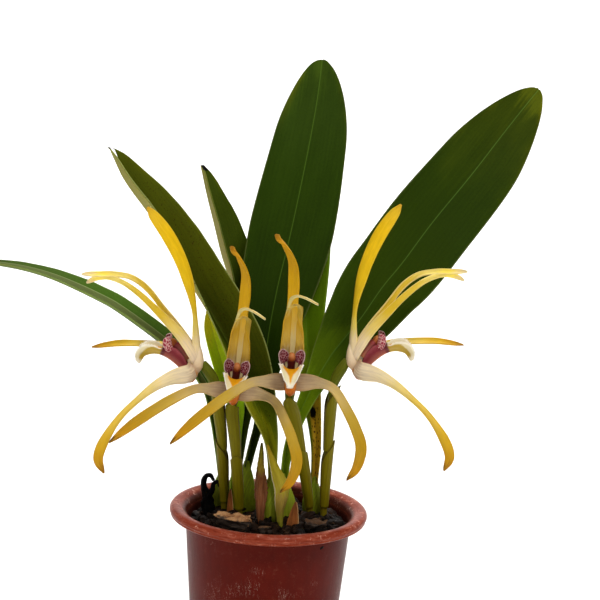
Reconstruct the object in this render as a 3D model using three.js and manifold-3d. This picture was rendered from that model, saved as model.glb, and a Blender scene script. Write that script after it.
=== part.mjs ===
// A potted orchid with four spidery yellow blooms: pot, bark mix, pseudobulbs, leaves, scapes and flowers.
// Millimetres, +Z up. X runs to the right and Y away from the front. The origin is the middle of the pot's base.
import * as THREE from 'three';
import { mergeVertices } from 'three/addons/utils/BufferGeometryUtils.js';
import Module from 'manifold-3d';

const wasm = await Module();
wasm.setup();

// Pot
const POT_HEIGHT = 88;
const RIM_RADIUS = 50;
const NECK_RADIUS = 42;
const BASE_RADIUS = 35;
const WALL = 1.3;
const FLOOR = 1.6;
const LIP_DEPTH = 5.4;
const DRAIN_HOLES = 6;
const DRAIN_RADIUS = 3.2;
const DRAIN_CIRCLE = 21;
const POT_SIDES = 36;

// Bark mix
const SOIL_EDGE = 79.5;
const SOIL_CROWN = 3;
const SOIL_SIDES = 26;
const CHUNKS = 14;

// Clearance between pieces that touch
const SEAT = 0.3;

// Leaves
const BLADE = 0.95;
const BLADE_STEPS = 13;

// Flowers
const TEPAL = 0.95;
const TEPAL_STEPS = 10;
const HEART_RADIUS = 3.8;
const HEART_CENTRE = [1, 0, 0];

const RANDOM_SEED = 20417;

const paint = (color, roughness, metalness = 0) => new THREE.MeshStandardMaterial({ color, roughness, metalness });
const vec = ([x, y, z]) => new THREE.Vector3(x, y, z);
const mix = (a, b, t) => a + (b - a) * t;

// A repeatable draw between 0 and 1
let seed = RANDOM_SEED;
function draw() {
  seed = (seed * 1664525 + 1013904223) % 4294967296;
  return seed / 4294967296;
}

// A value along a piece, eased smoothly between [position, value] pairs
function profile(pairs) {
  return (t) => {
    const next = pairs.findIndex(([at]) => at >= t);
    if (next <= 0) return next === 0 ? pairs[0][1] : pairs[pairs.length - 1][1];
    const [t0, a] = pairs[next - 1];
    const [t1, b] = pairs[next];
    const slope = (i) => {
      const [before, after] = [pairs[Math.max(i - 1, 0)], pairs[Math.min(i + 1, pairs.length - 1)]];
      return (after[1] - before[1]) / (after[0] - before[0]);
    };
    const span = t1 - t0;
    const s = (t - t0) / span;
    const ease = s * s * (3 - 2 * s);
    const bulge = s * (1 - s) * span;
    const value = mix(a, b, ease) + bulge * ((1 - s) * slope(next - 1) - s * slope(next));
    return Math.max(value, 0);
  };
}

// Stations along a smooth spine, each with the side and the face direction of the piece there
function stationsAlong(spine, faces, steps) {
  const curve = new THREE.CatmullRomCurve3(spine.map(vec), false, 'catmullrom', 0.5);
  return Array.from({ length: steps + 1 }, (_, i) => {
    const t = i / steps;
    const tangent = curve.getTangentAt(t);
    const place = t * (faces.length - 1);
    const first = Math.min(Math.floor(place), faces.length - 2);
    const facing = vec(faces[first]).normalize().lerp(vec(faces[first + 1]).normalize(), place - first);
    const normal = facing.addScaledVector(tangent, -facing.dot(tangent)).normalize();
    const side = new THREE.Vector3().crossVectors(tangent, normal);
    return { t, origin: curve.getPointAt(t), tangent, normal, side };
  });
}

// A closed solid through cross-sections. Each section lists its front points from left to right and
// then its back points from right to left, and both faces are split into triangles alike.
function loft(stations, section) {
  const rings = stations.map((station) => section(station.t));
  const count = rings[0].length;
  const half = count / 2;
  const positions = [];
  stations.forEach(({ origin, side, normal, tangent }, i) => {
    rings[i].forEach(([a, b, c = 0]) => {
      const point = origin.clone().addScaledVector(side, a).addScaledVector(normal, b).addScaledVector(tangent, c);
      positions.push(point.x, point.y, point.z);
    });
  });
  const index = [];
  for (let i = 0; i < stations.length - 1; i += 1) {
    for (let j = 0; j < count; j += 1) {
      const [a, b] = [i * count + j, i * count + ((j + 1) % count)];
      const [c, d] = [a + count, b + count];
      if (j < half) index.push(a, b, d, a, d, c);
      else index.push(a, b, c, b, d, c);
    }
  }
  const last = (stations.length - 1) * count;
  for (let j = 0; j < half - 1; j += 1) {
    const k = count - 1 - j;
    index.push(j, k - 1, j + 1, j, k, k - 1);
    index.push(last + j, last + j + 1, last + k - 1, last + j, last + k - 1, last + k);
  }
  return solid(positions, index);
}

// A manifold from points and triangles, turned so that its faces point out
function solid(positions, index) {
  let volume = 0;
  const at = (i) => new THREE.Vector3().fromArray(positions, i * 3);
  for (let i = 0; i < index.length; i += 3) {
    volume += at(index[i]).dot(new THREE.Vector3().crossVectors(at(index[i + 1]), at(index[i + 2])));
  }
  const turned = volume < 0 ? index.slice().reverse() : index;
  const data = { numProp: 3, vertProperties: new Float32Array(positions), triVerts: new Uint32Array(turned) };
  return new wasm.Manifold(new wasm.Mesh(data));
}

// A manifold from a three.js geometry
function fromGeometry(source) {
  const bare = source.clone();
  bare.deleteAttribute('normal');
  bare.deleteAttribute('uv');
  const merged = mergeVertices(bare, 1e-4);
  return solid(Array.from(merged.attributes.position.array), Array.from(merged.index.array));
}

function toMesh(name, body, material) {
  const { vertProperties, triVerts } = body.getMesh();
  const geometry = new THREE.BufferGeometry();
  geometry.setAttribute('position', new THREE.BufferAttribute(new Float32Array(vertProperties), 3));
  geometry.setIndex(new THREE.BufferAttribute(new Uint32Array(triVerts), 1));
  geometry.computeVertexNormals();
  const mesh = new THREE.Mesh(geometry, material);
  mesh.name = name;
  return mesh;
}

const joinAll = (bodies) => bodies.reduce((sum, body) => sum.add(body));

// Cross-sections, as lists of [side, front, along] points

// A round or oval stem
function roundSection(width, depth = width, sides = 8, lift = () => 0) {
  return Array.from({ length: sides }, (_, i) => {
    const angle = Math.PI - ((i + 0.5) / sides) * Math.PI * 2;
    return [width * Math.cos(angle), depth * Math.sin(angle), lift(angle)];
  });
}

// A blade folded along its middle by an angle that lifts both halves towards its front face
function foldedSection(halfWidth, fold, thickness, keel, grow = 0) {
  const front = [];
  const back = [];
  for (const v of [-1, -0.52, 0, 0.52, 1]) {
    const reach = Math.abs(v);
    const side = v * (halfWidth + grow) * Math.cos(fold);
    const rise = (halfWidth + grow) * Math.sin(fold) * (1.22 * reach - 0.22 * reach * reach);
    const half = (thickness / 2) * (1 - 0.3 * reach) + grow;
    const lean = Math.sign(v) * Math.sin(fold) * half;
    const over = half * (v === 0 ? 1 : Math.cos(fold));
    front.push([side - lean, rise + over]);
    back.unshift([side + lean, rise - over - (v === 0 ? keel : 0)]);
  }
  return [...front, ...back];
}

// A strap with a shallow channel down its front face
function strapSection(halfWidth, channel, thickness = TEPAL) {
  const edge = thickness * 0.36;
  const dip = Math.min(channel, halfWidth * 0.35);
  return [
    [-halfWidth, edge], [0, thickness / 2 - dip], [halfWidth, edge],
    [halfWidth, -edge], [0, -thickness / 2 - dip], [-halfWidth, -edge],
  ];
}

// Pot

const potTaper = (NECK_RADIUS - BASE_RADIUS) / (POT_HEIGHT - LIP_DEPTH);
const innerRadius = (z) => BASE_RADIUS + potTaper * z - WALL;

function makePot() {
  const underLip = POT_HEIGHT - LIP_DEPTH;
  const points = [
    [0, 0], [BASE_RADIUS - 1.4, 0], [BASE_RADIUS - 0.4, 0.5], [BASE_RADIUS + 0.1, 1.6],
    [NECK_RADIUS - 0.1, underLip - 0.8], [NECK_RADIUS + 0.7, underLip],
    [RIM_RADIUS - 1.6, underLip - 0.1], [RIM_RADIUS - 0.4, underLip + 0.7], [RIM_RADIUS, underLip + 2.2],
    [RIM_RADIUS - 0.3, POT_HEIGHT - 1.5], [RIM_RADIUS - 1.3, POT_HEIGHT - 0.4], [RIM_RADIUS - 2.8, POT_HEIGHT],
    [RIM_RADIUS - 5, POT_HEIGHT - 0.5], [innerRadius(POT_HEIGHT) + 2, POT_HEIGHT - 2.2],
    [innerRadius(POT_HEIGHT - LIP_DEPTH) + 0.4, POT_HEIGHT - LIP_DEPTH + 0.4],
    [innerRadius(POT_HEIGHT - 8), POT_HEIGHT - 8], [innerRadius(FLOOR) - 0.6, FLOOR], [0, FLOOR],
  ];
  const shell = fromGeometry(new THREE.LatheGeometry(points.map(([r, z]) => new THREE.Vector2(r, z)), POT_SIDES)
    .rotateX(Math.PI / 2));
  const holes = Array.from({ length: DRAIN_HOLES }, (_, i) => {
    const angle = (i / DRAIN_HOLES) * Math.PI * 2;
    const drill = new THREE.CylinderGeometry(DRAIN_RADIUS, DRAIN_RADIUS, FLOOR * 4, 10).rotateX(Math.PI / 2);
    return fromGeometry(drill.translate(DRAIN_CIRCLE * Math.cos(angle), DRAIN_CIRCLE * Math.sin(angle), 0));
  });
  return shell.subtract(joinAll(holes));
}

// Bark mix

// Height of the bark mix, highest round the plant, with low lumps
function soilHeight(x, y) {
  const mound = SOIL_CROWN * Math.max(0, 1 - (x * x + y * y) / 1500);
  const lumps = 0.7 * Math.sin(x * 0.31 + 1.3) * Math.cos(y * 0.37) + 0.4 * Math.sin(x * 0.83 - y * 0.71);
  return SOIL_EDGE + mound + lumps;
}

// A lump of bark: a squat box with its corners shifted
function barkChunk([x, y, z], [length, width, height], turn, tilt, jitter) {
  const box = new THREE.BoxGeometry(length, width, height);
  const corners = mergeVertices(box.deleteAttribute('normal').deleteAttribute('uv'));
  const place = corners.attributes.position;
  for (let i = 0; i < place.count; i += 1) {
    place.setXYZ(i, ...[place.getX(i), place.getY(i), place.getZ(i)].map((v) => v * (1 + jitter * (draw() - 0.5))));
  }
  return fromGeometry(corners.rotateX(tilt).rotateZ(turn).translate(x, y, z));
}

function makeSubstrate(cutters) {
  const bottom = FLOOR + SEAT;
  const rings = [31, 18];
  const side = [[innerRadius(bottom) - 0.9, bottom], [innerRadius(SOIL_EDGE) - SEAT - 0.2, SOIL_EDGE]];
  const points = [[0, bottom], ...side, ...rings.map((r) => [r, SOIL_EDGE]), [0, SOIL_EDGE]];
  const outline = points.map(([r, z]) => new THREE.Vector2(r, z));
  const body = new THREE.LatheGeometry(outline, SOIL_SIDES).rotateX(Math.PI / 2);
  const place = body.attributes.position;
  for (let i = 0; i < place.count; i += 1) {
    if (place.getZ(i) > SOIL_EDGE - 1) place.setZ(i, soilHeight(place.getX(i), place.getY(i)));
  }
  const chunks = Array.from({ length: CHUNKS }, (_, i) => {
    const angle = i * 2.4 + draw();
    const reach = 34 * Math.sqrt((i + 0.5) / CHUNKS);
    const [x, y] = [reach * Math.cos(angle), reach * Math.sin(angle)];
    const size = [7 + 5 * draw(), 4 + 3 * draw(), 3 + 2 * draw()];
    return barkChunk([x, y, soilHeight(x, y) - 0.3], size, draw() * Math.PI, (draw() - 0.5) * 0.7, 0.5);
  });
  return joinAll([fromGeometry(body), ...chunks]).subtract(joinAll(cutters));
}

// Loose chips that lie in pockets of the bark mix: [centre, size, turn, tilt]
const CHIPS = {
  bark_chip_large: [[-17, -17.6, 84], [23, 10, 7], -0.34, 0.2],
  bark_chip_small: [[-0.8, -23.6, 82.4], [9, 7, 4], 0.5, -0.2],
  bark_chip_right: [[24, -12, 82.8], [14, 9, 5], 0.7, 0.2],
  bark_chip_back: [[-3, 29, 82.4], [16, 9, 5], 0.3, -0.25],
};

function chipBody([centre, size, turn, tilt], grow) {
  const [length, width, height] = size.map((v) => v + grow * 2);
  const outline = [[-0.5, -0.1], [-0.3, -0.42], [0.2, -0.5], [0.5, -0.15], [0.36, 0.4], [-0.1, 0.5], [-0.42, 0.3]];
  const shape = new THREE.Shape(outline.map(([x, y]) => new THREE.Vector2(x * length, y * width)));
  const bevel = height * 0.24;
  const settings = { depth: height - bevel * 2, bevelThickness: bevel, bevelSize: bevel, bevelOffset: -bevel,
    bevelSegments: 1, curveSegments: 1 };
  const slab = new THREE.ExtrudeGeometry(shape, settings).translate(0, 0, bevel - height / 2);
  return fromGeometry(slab.rotateX(tilt).rotateZ(turn).translate(...centre));
}

// Pseudobulbs on their rhizome: [foot, top, half width, half depth]
const BULBS = {
  centre: [[-12, 8, 77], [-12.4, 9, 104], 5.6, 4.2],
  left: [[1, -6, 77], [0.8, -4.6, 101.6], 5.6, 4.4],
  right: [[9.4, -4, 77], [6.6, -1.8, 101.6], 5.8, 4.4],
  backLeft: [[-17, 21, 77], [-17.3, 22, 100], 5, 4.2],
  lowLeft: [[-26, 15, 77], [-25.4, 16, 97], 4.8, 4],
  backRight: [[22, 15, 77], [22.6, 15, 96], 5, 4.4],
};
const RHIZOME = [[-25.6, 15.4, 79.5], [-18.6, 17.6, 80], [-12.6, 9, 80.5], [-4, -2, 80.5], [6, -4.6, 80.5],
  [12, 6, 80.5], [21.8, 15, 79.5]];

// A spine whose foot reaches deeper, for the pocket around it
const deeper = ([[x, y, z], ...rest], depth) => [[x, y, z - depth], ...rest];

function makeBulbs(grow = 0) {
  const width = profile([[0, 0.55], [0.25, 0.95], [0.5, 1], [0.8, 0.66], [1, 0.36]]);
  const bulbs = Object.values(BULBS).map(([foot, top, halfWidth, halfDepth]) => {
    const middle = foot.map((v, i) => mix(v, top[i], 0.5));
    const reach = top.map((v, i) => v + (i === 2 ? grow : 0));
    const stations = stationsAlong(deeper([foot, middle, reach], grow), [[0, -1, 0], [0, -1, 0]], 6);
    return loft(stations, (t) => roundSection(halfWidth * width(t) + grow, halfDepth * width(t) + grow));
  });
  const stations = stationsAlong(RHIZOME, [[0, 0, 1], [0, 0, 1]], 9);
  const knots = (t) => 2.2 + 0.3 * Math.cos(t * Math.PI * 9) + grow;
  return joinAll([...bulbs, loft(stations, (t) => roundSection(knots(t), knots(t), 6))]);
}

// Leaves: the spine runs from the foot of the folded petiole to the tip, widths are halves,
// folds are the angle of each half blade, and round is the share of the length that the tip rounds off over
const LEAVES = {
  leaf_centre: {
    spine: [[-13, 10.2, 104.7], [-11.2, 11.6, 114.4], [-8.8, 13, 126], [-6.9, 15.5, 139], [-5.4, 20, 166.6],
      [-1.7, 23, 195], [3.1, 25, 220.6], [7.3, 27, 246], [11.1, 30, 271.6], [13.6, 33, 291.8], [15.2, 36, 312.5]],
    faces: [[0.5, -1, 0], [0, -1, 0.1], [0.05, -1, 0.15], [0.05, -1, 0.15]],
    widths: [[0, 2.8], [0.1, 4], [0.2, 7.4], [0.3, 13.4], [0.41, 18.8], [0.5, 21], [0.6, 21.8], [0.8, 18.8],
      [1, 14.5]],
    folds: [[0, 60], [0.16, 54], [0.35, 24], [0.6, 10], [1, 6]],
    round: 0.2,
  },
  leaf_right: {
    spine: [[6.2, -0.6, 102.8], [7.2, -0.8, 115], [9.4, -0.6, 125.2], [13.2, 0.6, 136.8], [19.5, 4.4, 150.5],
      [27, 9, 164.3], [34.5, 12, 174.5], [42.1, 15, 184.5], [52, 18.5, 200.1], [61.5, 20, 213], [75.7, 24, 234],
      [93.6, 28, 258], [109.3, 32, 280.3], [120.5, 34, 296], [126, 35, 303]],
    faces: [[0.3, -1, 0], [-0.3, -1, 0.2], [-0.1, -1, 0.12], [-0.1, -1, 0.12]],
    widths: [[0, 3], [0.1, 4.6], [0.2, 6.6], [0.28, 10.6], [0.37, 18], [0.46, 21.4], [0.58, 22.6], [0.77, 21],
      [0.88, 18], [1, 14]],
    folds: [[0, 60], [0.14, 54], [0.3, 26], [0.6, 12], [1, 7]],
    round: 0.2,
  },
  leaf_left: {
    spine: [[0.6, -3.4, 102], [-0.2, -2.4, 113.5], [-2.6, -1, 125.2], [-10, 4, 139.7], [-23.6, 8.4, 165.4],
      [-34.5, 10, 183], [-44.9, 13, 197.8], [-55, 17, 213.5], [-66.1, 21, 228.7], [-80.4, 26, 245.8],
      [-91, 30, 262.4]],
    faces: [[0.2, -1, 0], [0.5, -0.85, 0.3], [0.66, -0.54, 0.52], [0.66, -0.54, 0.52]],
    widths: [[0, 3], [0.1, 5.4], [0.2, 13], [0.34, 18.8], [0.48, 18.8], [0.62, 17.2], [0.78, 14.2], [0.9, 10],
      [0.97, 5.4], [1, 2.4]],
    folds: [[0, 60], [0.14, 54], [0.34, 50], [0.75, 50], [1, 52]],
    round: 0.05,
    notch: 17,
  },
  leaf_back_left: {
    spine: [[-17.4, 23, 100.6], [-16.7, 22, 120.8], [-16.9, 24, 147], [-19.9, 28, 172.3], [-24.6, 31, 193.5],
      [-30.7, 34, 210], [-35.8, 38, 226.5], [-40.2, 40, 241.2], [-44, 43, 255.3]],
    faces: [[0.1, -1, 0], [0.5, -0.8, 0.2], [0.76, -0.55, 0.3], [0.76, -0.55, 0.3]],
    widths: [[0, 2.8], [0.12, 4.2], [0.28, 9], [0.45, 14], [0.62, 15.4], [0.8, 12], [0.92, 6.6], [1, 1.8]],
    folds: [[0, 60], [0.25, 52], [0.5, 46], [1, 46]],
    round: 0.05,
  },
  leaf_low_left: {
    spine: [[-25.8, 17, 97.4], [-28.2, 17.6, 112], [-31.6, 19, 128], [-36.2, 21, 141], [-48, 26, 154.3],
      [-62.3, 30.4, 164.4], [-82.8, 33, 177.5], [-93.5, 33.6, 183.1], [-114.6, 34, 192], [-130.5, 35, 196.5],
      [-146.4, 36, 198.8], [-164, 36, 200.2]],
    faces: [[0.2, -1, 0.2], [0.5, -0.6, 0.6], [0.28, -0.6, 0.75], [0.15, -0.5, 0.85]],
    widths: [[0, 2.8], [0.1, 3.8], [0.24, 6.4], [0.45, 7.6], [0.65, 6.8], [0.85, 4.2], [0.95, 2.4], [1, 1.2]],
    folds: [[0, 60], [0.2, 52], [0.5, 48], [0.8, 40], [1, 40]],
    round: 0.05,
  },
  leaf_back_right: {
    spine: [[22.6, 16.2, 96.4], [22.8, 17.6, 116.5], [20.2, 20, 139.4], [15.8, 25, 164.4], [14, 30, 190],
      [14.6, 35, 215.5], [16, 40, 240], [17, 44, 258]],
    faces: [[0, -1, 0], [-0.3, -1, 0], [-0.25, -1, 0.1], [-0.2, -1, 0.2]],
    widths: [[0, 2.8], [0.14, 4], [0.28, 6.8], [0.45, 10.8], [0.66, 13], [0.84, 10], [0.94, 5.6], [1, 2]],
    folds: [[0, 60], [0.25, 44], [0.5, 26], [1, 20]],
    round: 0.06,
  },
  leaf_young: {
    spine: [[-19.4, 5.2, 77], [-19, 5.8, 92], [-18.6, 7.4, 105], [-19, 9.6, 119.8], [-21, 12, 138.2],
      [-27.8, 15, 156.4], [-33.2, 18, 171.2], [-36.4, 20, 182.2]],
    faces: [[0.2, -1, 0], [0.3, -1, 0.1], [0.4, -0.9, 0.3], [0.4, -0.9, 0.3]],
    widths: [[0, 2.2], [0.2, 2.6], [0.38, 3.2], [0.54, 5.4], [0.68, 6.4], [0.82, 6], [0.93, 4.8], [1, 3.4]],
    folds: [[0, 58], [0.47, 44], [0.74, 24], [1, 20]],
    round: 0.1,
  },
};

function makeLeaf({ spine, faces, widths, folds, round, notch }, grow = 0) {
  const halfWidth = profile(widths);
  const fold = profile(folds);
  const roundOff = (t) => {
    const s = Math.max(0, (t - 1 + round) / round);
    return Math.sqrt(Math.max(0.012, 1 - s * s));
  };
  const stations = stationsAlong(deeper(spine, grow), faces, BLADE_STEPS * 4)
    .filter((_, i) => i % 4 === 0 || i > BLADE_STEPS * 4 - 6);
  const blade = loft(stations, (t) => {
    const width = halfWidth(t) * roundOff(t);
    return foldedSection(width, THREE.MathUtils.degToRad(fold(t)), BLADE, 0.5, grow);
  });
  return notch ? blade.subtract(notchWedge(stations, notch)) : blade;
}

// The gap between the two lobes of a split leaf tip
function notchWedge(stations, depth) {
  const { origin, tangent, normal, side } = stations[stations.length - 1];
  const root = origin.clone().addScaledVector(tangent, -depth);
  const corners = [];
  for (const front of [-3, 14]) {
    for (const [along, across] of [[0, 0], [depth + 4, 1.5], [depth + 4, -1.5]]) {
      const point = root.clone().addScaledVector(tangent, along).addScaledVector(side, across)
        .addScaledVector(normal, front);
      corners.push(point.x, point.y, point.z);
    }
  }
  return solid(corners, [0, 2, 1, 3, 4, 5, 0, 1, 4, 0, 4, 3, 1, 2, 5, 1, 5, 4, 2, 0, 3, 2, 3, 5]);
}

// Blooms: points are [forward, left, up] from the top of the ovary

// Tepals of every bloom: spine, face directions and half widths
const SEPAL_WIDTHS = [[0, 4.4], [0.1, 4.5], [0.24, 3.3], [0.38, 2.8], [0.7, 2.9], [0.88, 2.3], [1, 0.7]];
const TALL_SEPAL = {
  spine: [[-1.2, 0, 1], [-1.5, 0, 10], [-1, 0, 21], [0.2, 0.8, 32], [4, 1.6, 48.5], [10, -1, 64], [18.5, -7, 79]],
  faces: [[1, 0, 0.1], [1, 0, 0], [1, 0.1, 0], [0.75, 0.75, 0], [0.3, 1, 0], [0.2, 1, 0], [0.2, 1, 0]],
  widths: [[0, 3.4], [0.1, 3], [0.24, 2.3], [0.4, 2.5], [0.62, 3.4], [0.82, 3.9], [0.94, 2.4], [1, 0.7]],
};
const NODDING_SEPAL = {
  spine: [[0, 0, 1], [0.6, 0, 12], [2.2, -0.4, 24], [5, -0.8, 35], [9.4, -0.6, 46], [14, -1.4, 57], [18.4, -5.4, 65],
    [22, -10.4, 70]],
  faces: [[1, 0, 0.1], [1, 0, 0], [1, -0.1, 0], [0.9, -0.4, 0], [0.7, -0.8, 0.1], [0.3, -0.7, 0.6]],
  widths: [[0, 3.4], [0.1, 3], [0.24, 2.4], [0.45, 2.3], [0.62, 3], [0.8, 3], [0.93, 2], [1, 0.6]],
};
const PETAL_WIDTHS = [[0, 3.6], [0.08, 3.9], [0.24, 3], [0.42, 2.1], [0.6, 1.6], [0.85, 1.4], [1, 0.4]];
const CROSSED_WIDTHS = [[0, 2.6], [0.12, 3.2], [0.4, 2.7], [0.56, 1.9], [0.75, 1], [1, 0.4]];
const PETALS = [
  {
    spine: [[0.6, -1.6, 1.5], [2, -3, 6], [7.6, -3.8, 16], [15.6, -3.8, 26], [24, -3.4, 35], [32, -2.6, 41.4],
      [40, -0.6, 44], [48, 4.2, 43.6], [55, 11, 41]],
    faces: [[0.7, 0.7, 0], [0.65, 0.75, 0], [0.4, 0.85, 0.3], [0.1, 0.8, 0.6], [0, 0.8, 0.6]],
    widths: PETAL_WIDTHS,
  },
  {
    spine: [[0.6, 1.6, 1.5], [2, 3, 6], [7.8, 4, 16.6], [15.4, 4, 27.4], [22.6, 3.6, 37.2], [30, 2.6, 43.6],
      [38, 0.2, 46.6], [46, -3.4, 47], [53.6, -6.4, 46]],
    faces: [[0.7, -0.7, 0], [0.65, -0.75, 0], [0.5, -0.75, 0.4], [0.1, -0.7, 0.7], [0, -0.7, 0.7]],
    widths: PETAL_WIDTHS,
  },
];
// The petals of the two blooms seen from the front arch over and curl at their tips
const CROSSED_PETALS = [
  {
    spine: [[0.6, -1.6, 1.5], [2, -3, 6], [8, -3.6, 14.5], [17, -3.2, 25.5], [28, -2.6, 37.6], [36, -1, 43],
      [43, 2.8, 45], [50, 10.6, 43]],
    faces: [[0.7, 0.7, 0], [0.7, 0.7, 0], [0.7, 0.6, 0.2], [0.3, 0.5, 0.8], [0, 0.3, 1]],
    widths: CROSSED_WIDTHS,
  },
  {
    spine: [[0.6, 1.6, 1.5], [2, 3, 6], [8, 3.8, 15], [18, 3.8, 26.5], [29, 3.4, 36.6], [36, 1.4, 40],
      [41, -1.8, 39]],
    faces: [[0.7, -0.7, 0], [0.7, -0.7, 0], [0.7, -0.6, 0.2], [0.3, -0.5, 0.8], [0, -0.3, 1]],
    widths: CROSSED_WIDTHS,
  },
];
// Lateral sepals of the two blooms seen from the side
const SIDE_SEPALS = [
  {
    spine: [[1.6, -2, -1.4], [3.4, -5.4, -3.4], [11.2, -11.5, -3.6], [19.3, -17.4, -6.2], [28.1, -22, -11.8],
      [37, -25, -19.5], [44.4, -27, -29.5], [48, -27, -38.2], [46, -26, -45.5]],
    faces: [[0.6, 0.75, 0.1], [0.5, 0.85, 0.2], [0.3, 0.9, 0.3], [0.1, 1, 0.1]],
    widths: SEPAL_WIDTHS,
  },
  {
    spine: [[1.6, 2, -1], [3.8, 5.6, -3], [12, 17, 0.8], [20.1, 27, 3.8], [29, 35, 4.6], [45, 45, 4.2], [60, 51, 2.2]],
    faces: [[0.7, -0.4, 0.6], [0.4, -0.5, 0.8], [0.3, -0.5, 0.8], [0.3, -0.6, 0.7]],
    widths: [[0, 3.2], [0.2, 3], [0.45, 2.6], [0.75, 2.4], [0.9, 1.7], [1, 0.5]],
  },
];
// Lateral sepals of the two blooms seen from the front
const SPREAD_SEPALS = [
  {
    spine: [[1.6, -1.8, -1.2], [3.2, -5, -1.6], [8, -10.9, -0.4], [17, -18.6, 0.2], [29, -28.2, -4.2],
      [37, -40.6, -14], [43, -53, -25.4]],
    faces: [[0.8, 0.5, 0.1], [0.8, 0.3, 0.3], [0.75, -0.2, 0.6], [0.7, -0.4, 0.6]],
    widths: SEPAL_WIDTHS,
  },
  {
    spine: [[1.6, 1.8, -1.2], [3.2, 5, -1.2], [8, 12.6, 0.6], [15, 20, -1], [21, 26.6, -8], [24, 32, -18.4],
      [25, 34.8, -27.2], [24, 33, -37], [22, 28.6, -44]],
    faces: [[0.8, -0.5, 0.1], [0.8, 0, 0.4], [0.8, 0.4, 0.3], [1, 0.2, 0]],
    widths: SEPAL_WIDTHS,
  },
];

// Lip: floor from its claw to the tip, half widths and heights of its upturned sides
const LIP = {
  spine: [[5.6, 0, -2.4], [8, 0, 0.2], [11.2, 0, 3.4], [15, 0, 6.3], [19, 0, 8], [23, 0, 8.2], [27, 0, 6.2],
    [29.8, 0, 2]],
  faces: [[-0.7, 0, 0.7], [-0.4, 0, 1], [0, 0, 1], [0.6, 0, 0.7]],
  widths: [[0, 2], [0.2, 2.8], [0.34, 3.4], [0.5, 3.8], [0.6, 5], [0.72, 5.2], [0.88, 3.2], [1, 0.7]],
  sides: [[0, 1], [0.14, 3.8], [0.34, 5.2], [0.44, 4.4], [0.54, 2.8], [0.62, 3.2], [0.74, 3.8], [0.88, 2.4],
    [1, 0.2]],
};
// Side lobe of the lip, flared outward
const LIP_LOBE = {
  spine: [[11, 3.3, 6.2], [12, 4.2, 9.2], [12.6, 4.7, 12.4], [12.8, 4.7, 15.4]],
  faces: [[0.6, -0.8, 0.1], [0.7, -0.7, 0]],
  widths: [[0, 1.6], [0.3, 2.6], [0.6, 3], [0.86, 2.3], [1, 1]],
};
const COLUMN = [[5, 0, 2.8], [7.6, 0, 7], [10.4, 0, 11]];

function mirrored(tepal, mirror) {
  const flip = ([x, y, z]) => [x, y * mirror, z];
  return { ...tepal, spine: tepal.spine.map(flip), faces: tepal.faces.map(flip) };
}

function makeTepal({ spine, faces, widths }, steps = TEPAL_STEPS) {
  const halfWidth = profile(widths);
  return loft(stationsAlong(spine, faces, steps), (t) => strapSection(halfWidth(t), 0.7 * (1 - t)));
}

// All tepals of a bloom, grown together in its heart and drawn out below into a chin
function makeTepals({ sepal, petals, laterals, mirror }) {
  const heart = fromGeometry(new THREE.SphereGeometry(HEART_RADIUS, 8, 6).translate(...HEART_CENTRE));
  const chinWidth = profile([[0, 3], [0.5, 2.8], [0.85, 2], [1, 1]]);
  const chin = loft(stationsAlong([[1.4, 0, -1], [2.4, 0, -4.6], [3.4, 0, -7.8]], [[1, 0, 0], [1, 0, 0]], 4),
    (t) => roundSection(chinWidth(t) * 1.1, chinWidth(t)));
  const tepals = [sepal, ...petals, ...laterals].map((tepal) => mirrored(tepal, mirror));
  return joinAll([heart, chin, ...tepals.map((tepal) => makeTepal(tepal))]);
}

function makeLip() {
  const width = profile(LIP.widths);
  const height = profile(LIP.sides);
  const across = [-1, -0.6, 0, 0.6, 1];
  const cup = loft(stationsAlong(LIP.spine, LIP.faces, 9), (t) => {
    const flare = THREE.MathUtils.smoothstep(t, 0.5, 0.66);
    const outline = across.map((v) => {
      const reach = Math.abs(v);
      const side = Math.sign(v) * width(t) * mix(Math.sin(reach * Math.PI / 2) ** 0.8, reach, flare);
      return [side, height(t) * reach ** mix(3, 2, flare), 0.5 + 0.25 * (1 - reach), 1 - 0.1 * reach];
    });
    const front = outline.map(([a, b, thick, inset]) => [a * inset, b + thick * 0.6]);
    const back = outline.map(([a, b, thick, inset]) => [a * (2 - inset), b - thick * 0.6]);
    return [...front, ...back.reverse()];
  });
  const lobes = [1, -1].map((side) => makeTepal(mirrored(LIP_LOBE, side), 4));
  return joinAll([cup, ...lobes]);
}

function makeColumn() {
  const radius = profile([[0, 2], [0.5, 1.8], [0.85, 2.2], [1, 1.9]]);
  const post = loft(stationsAlong(COLUMN, [[1, 0, 0], [1, 0, 0]], 4), (t) => roundSection(radius(t), radius(t), 6));
  const cap = new THREE.SphereGeometry(2, 6, 4).scale(1.1, 1, 1.1).translate(11.3, 0, 11.3);
  return post.add(fromGeometry(cap));
}

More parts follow.
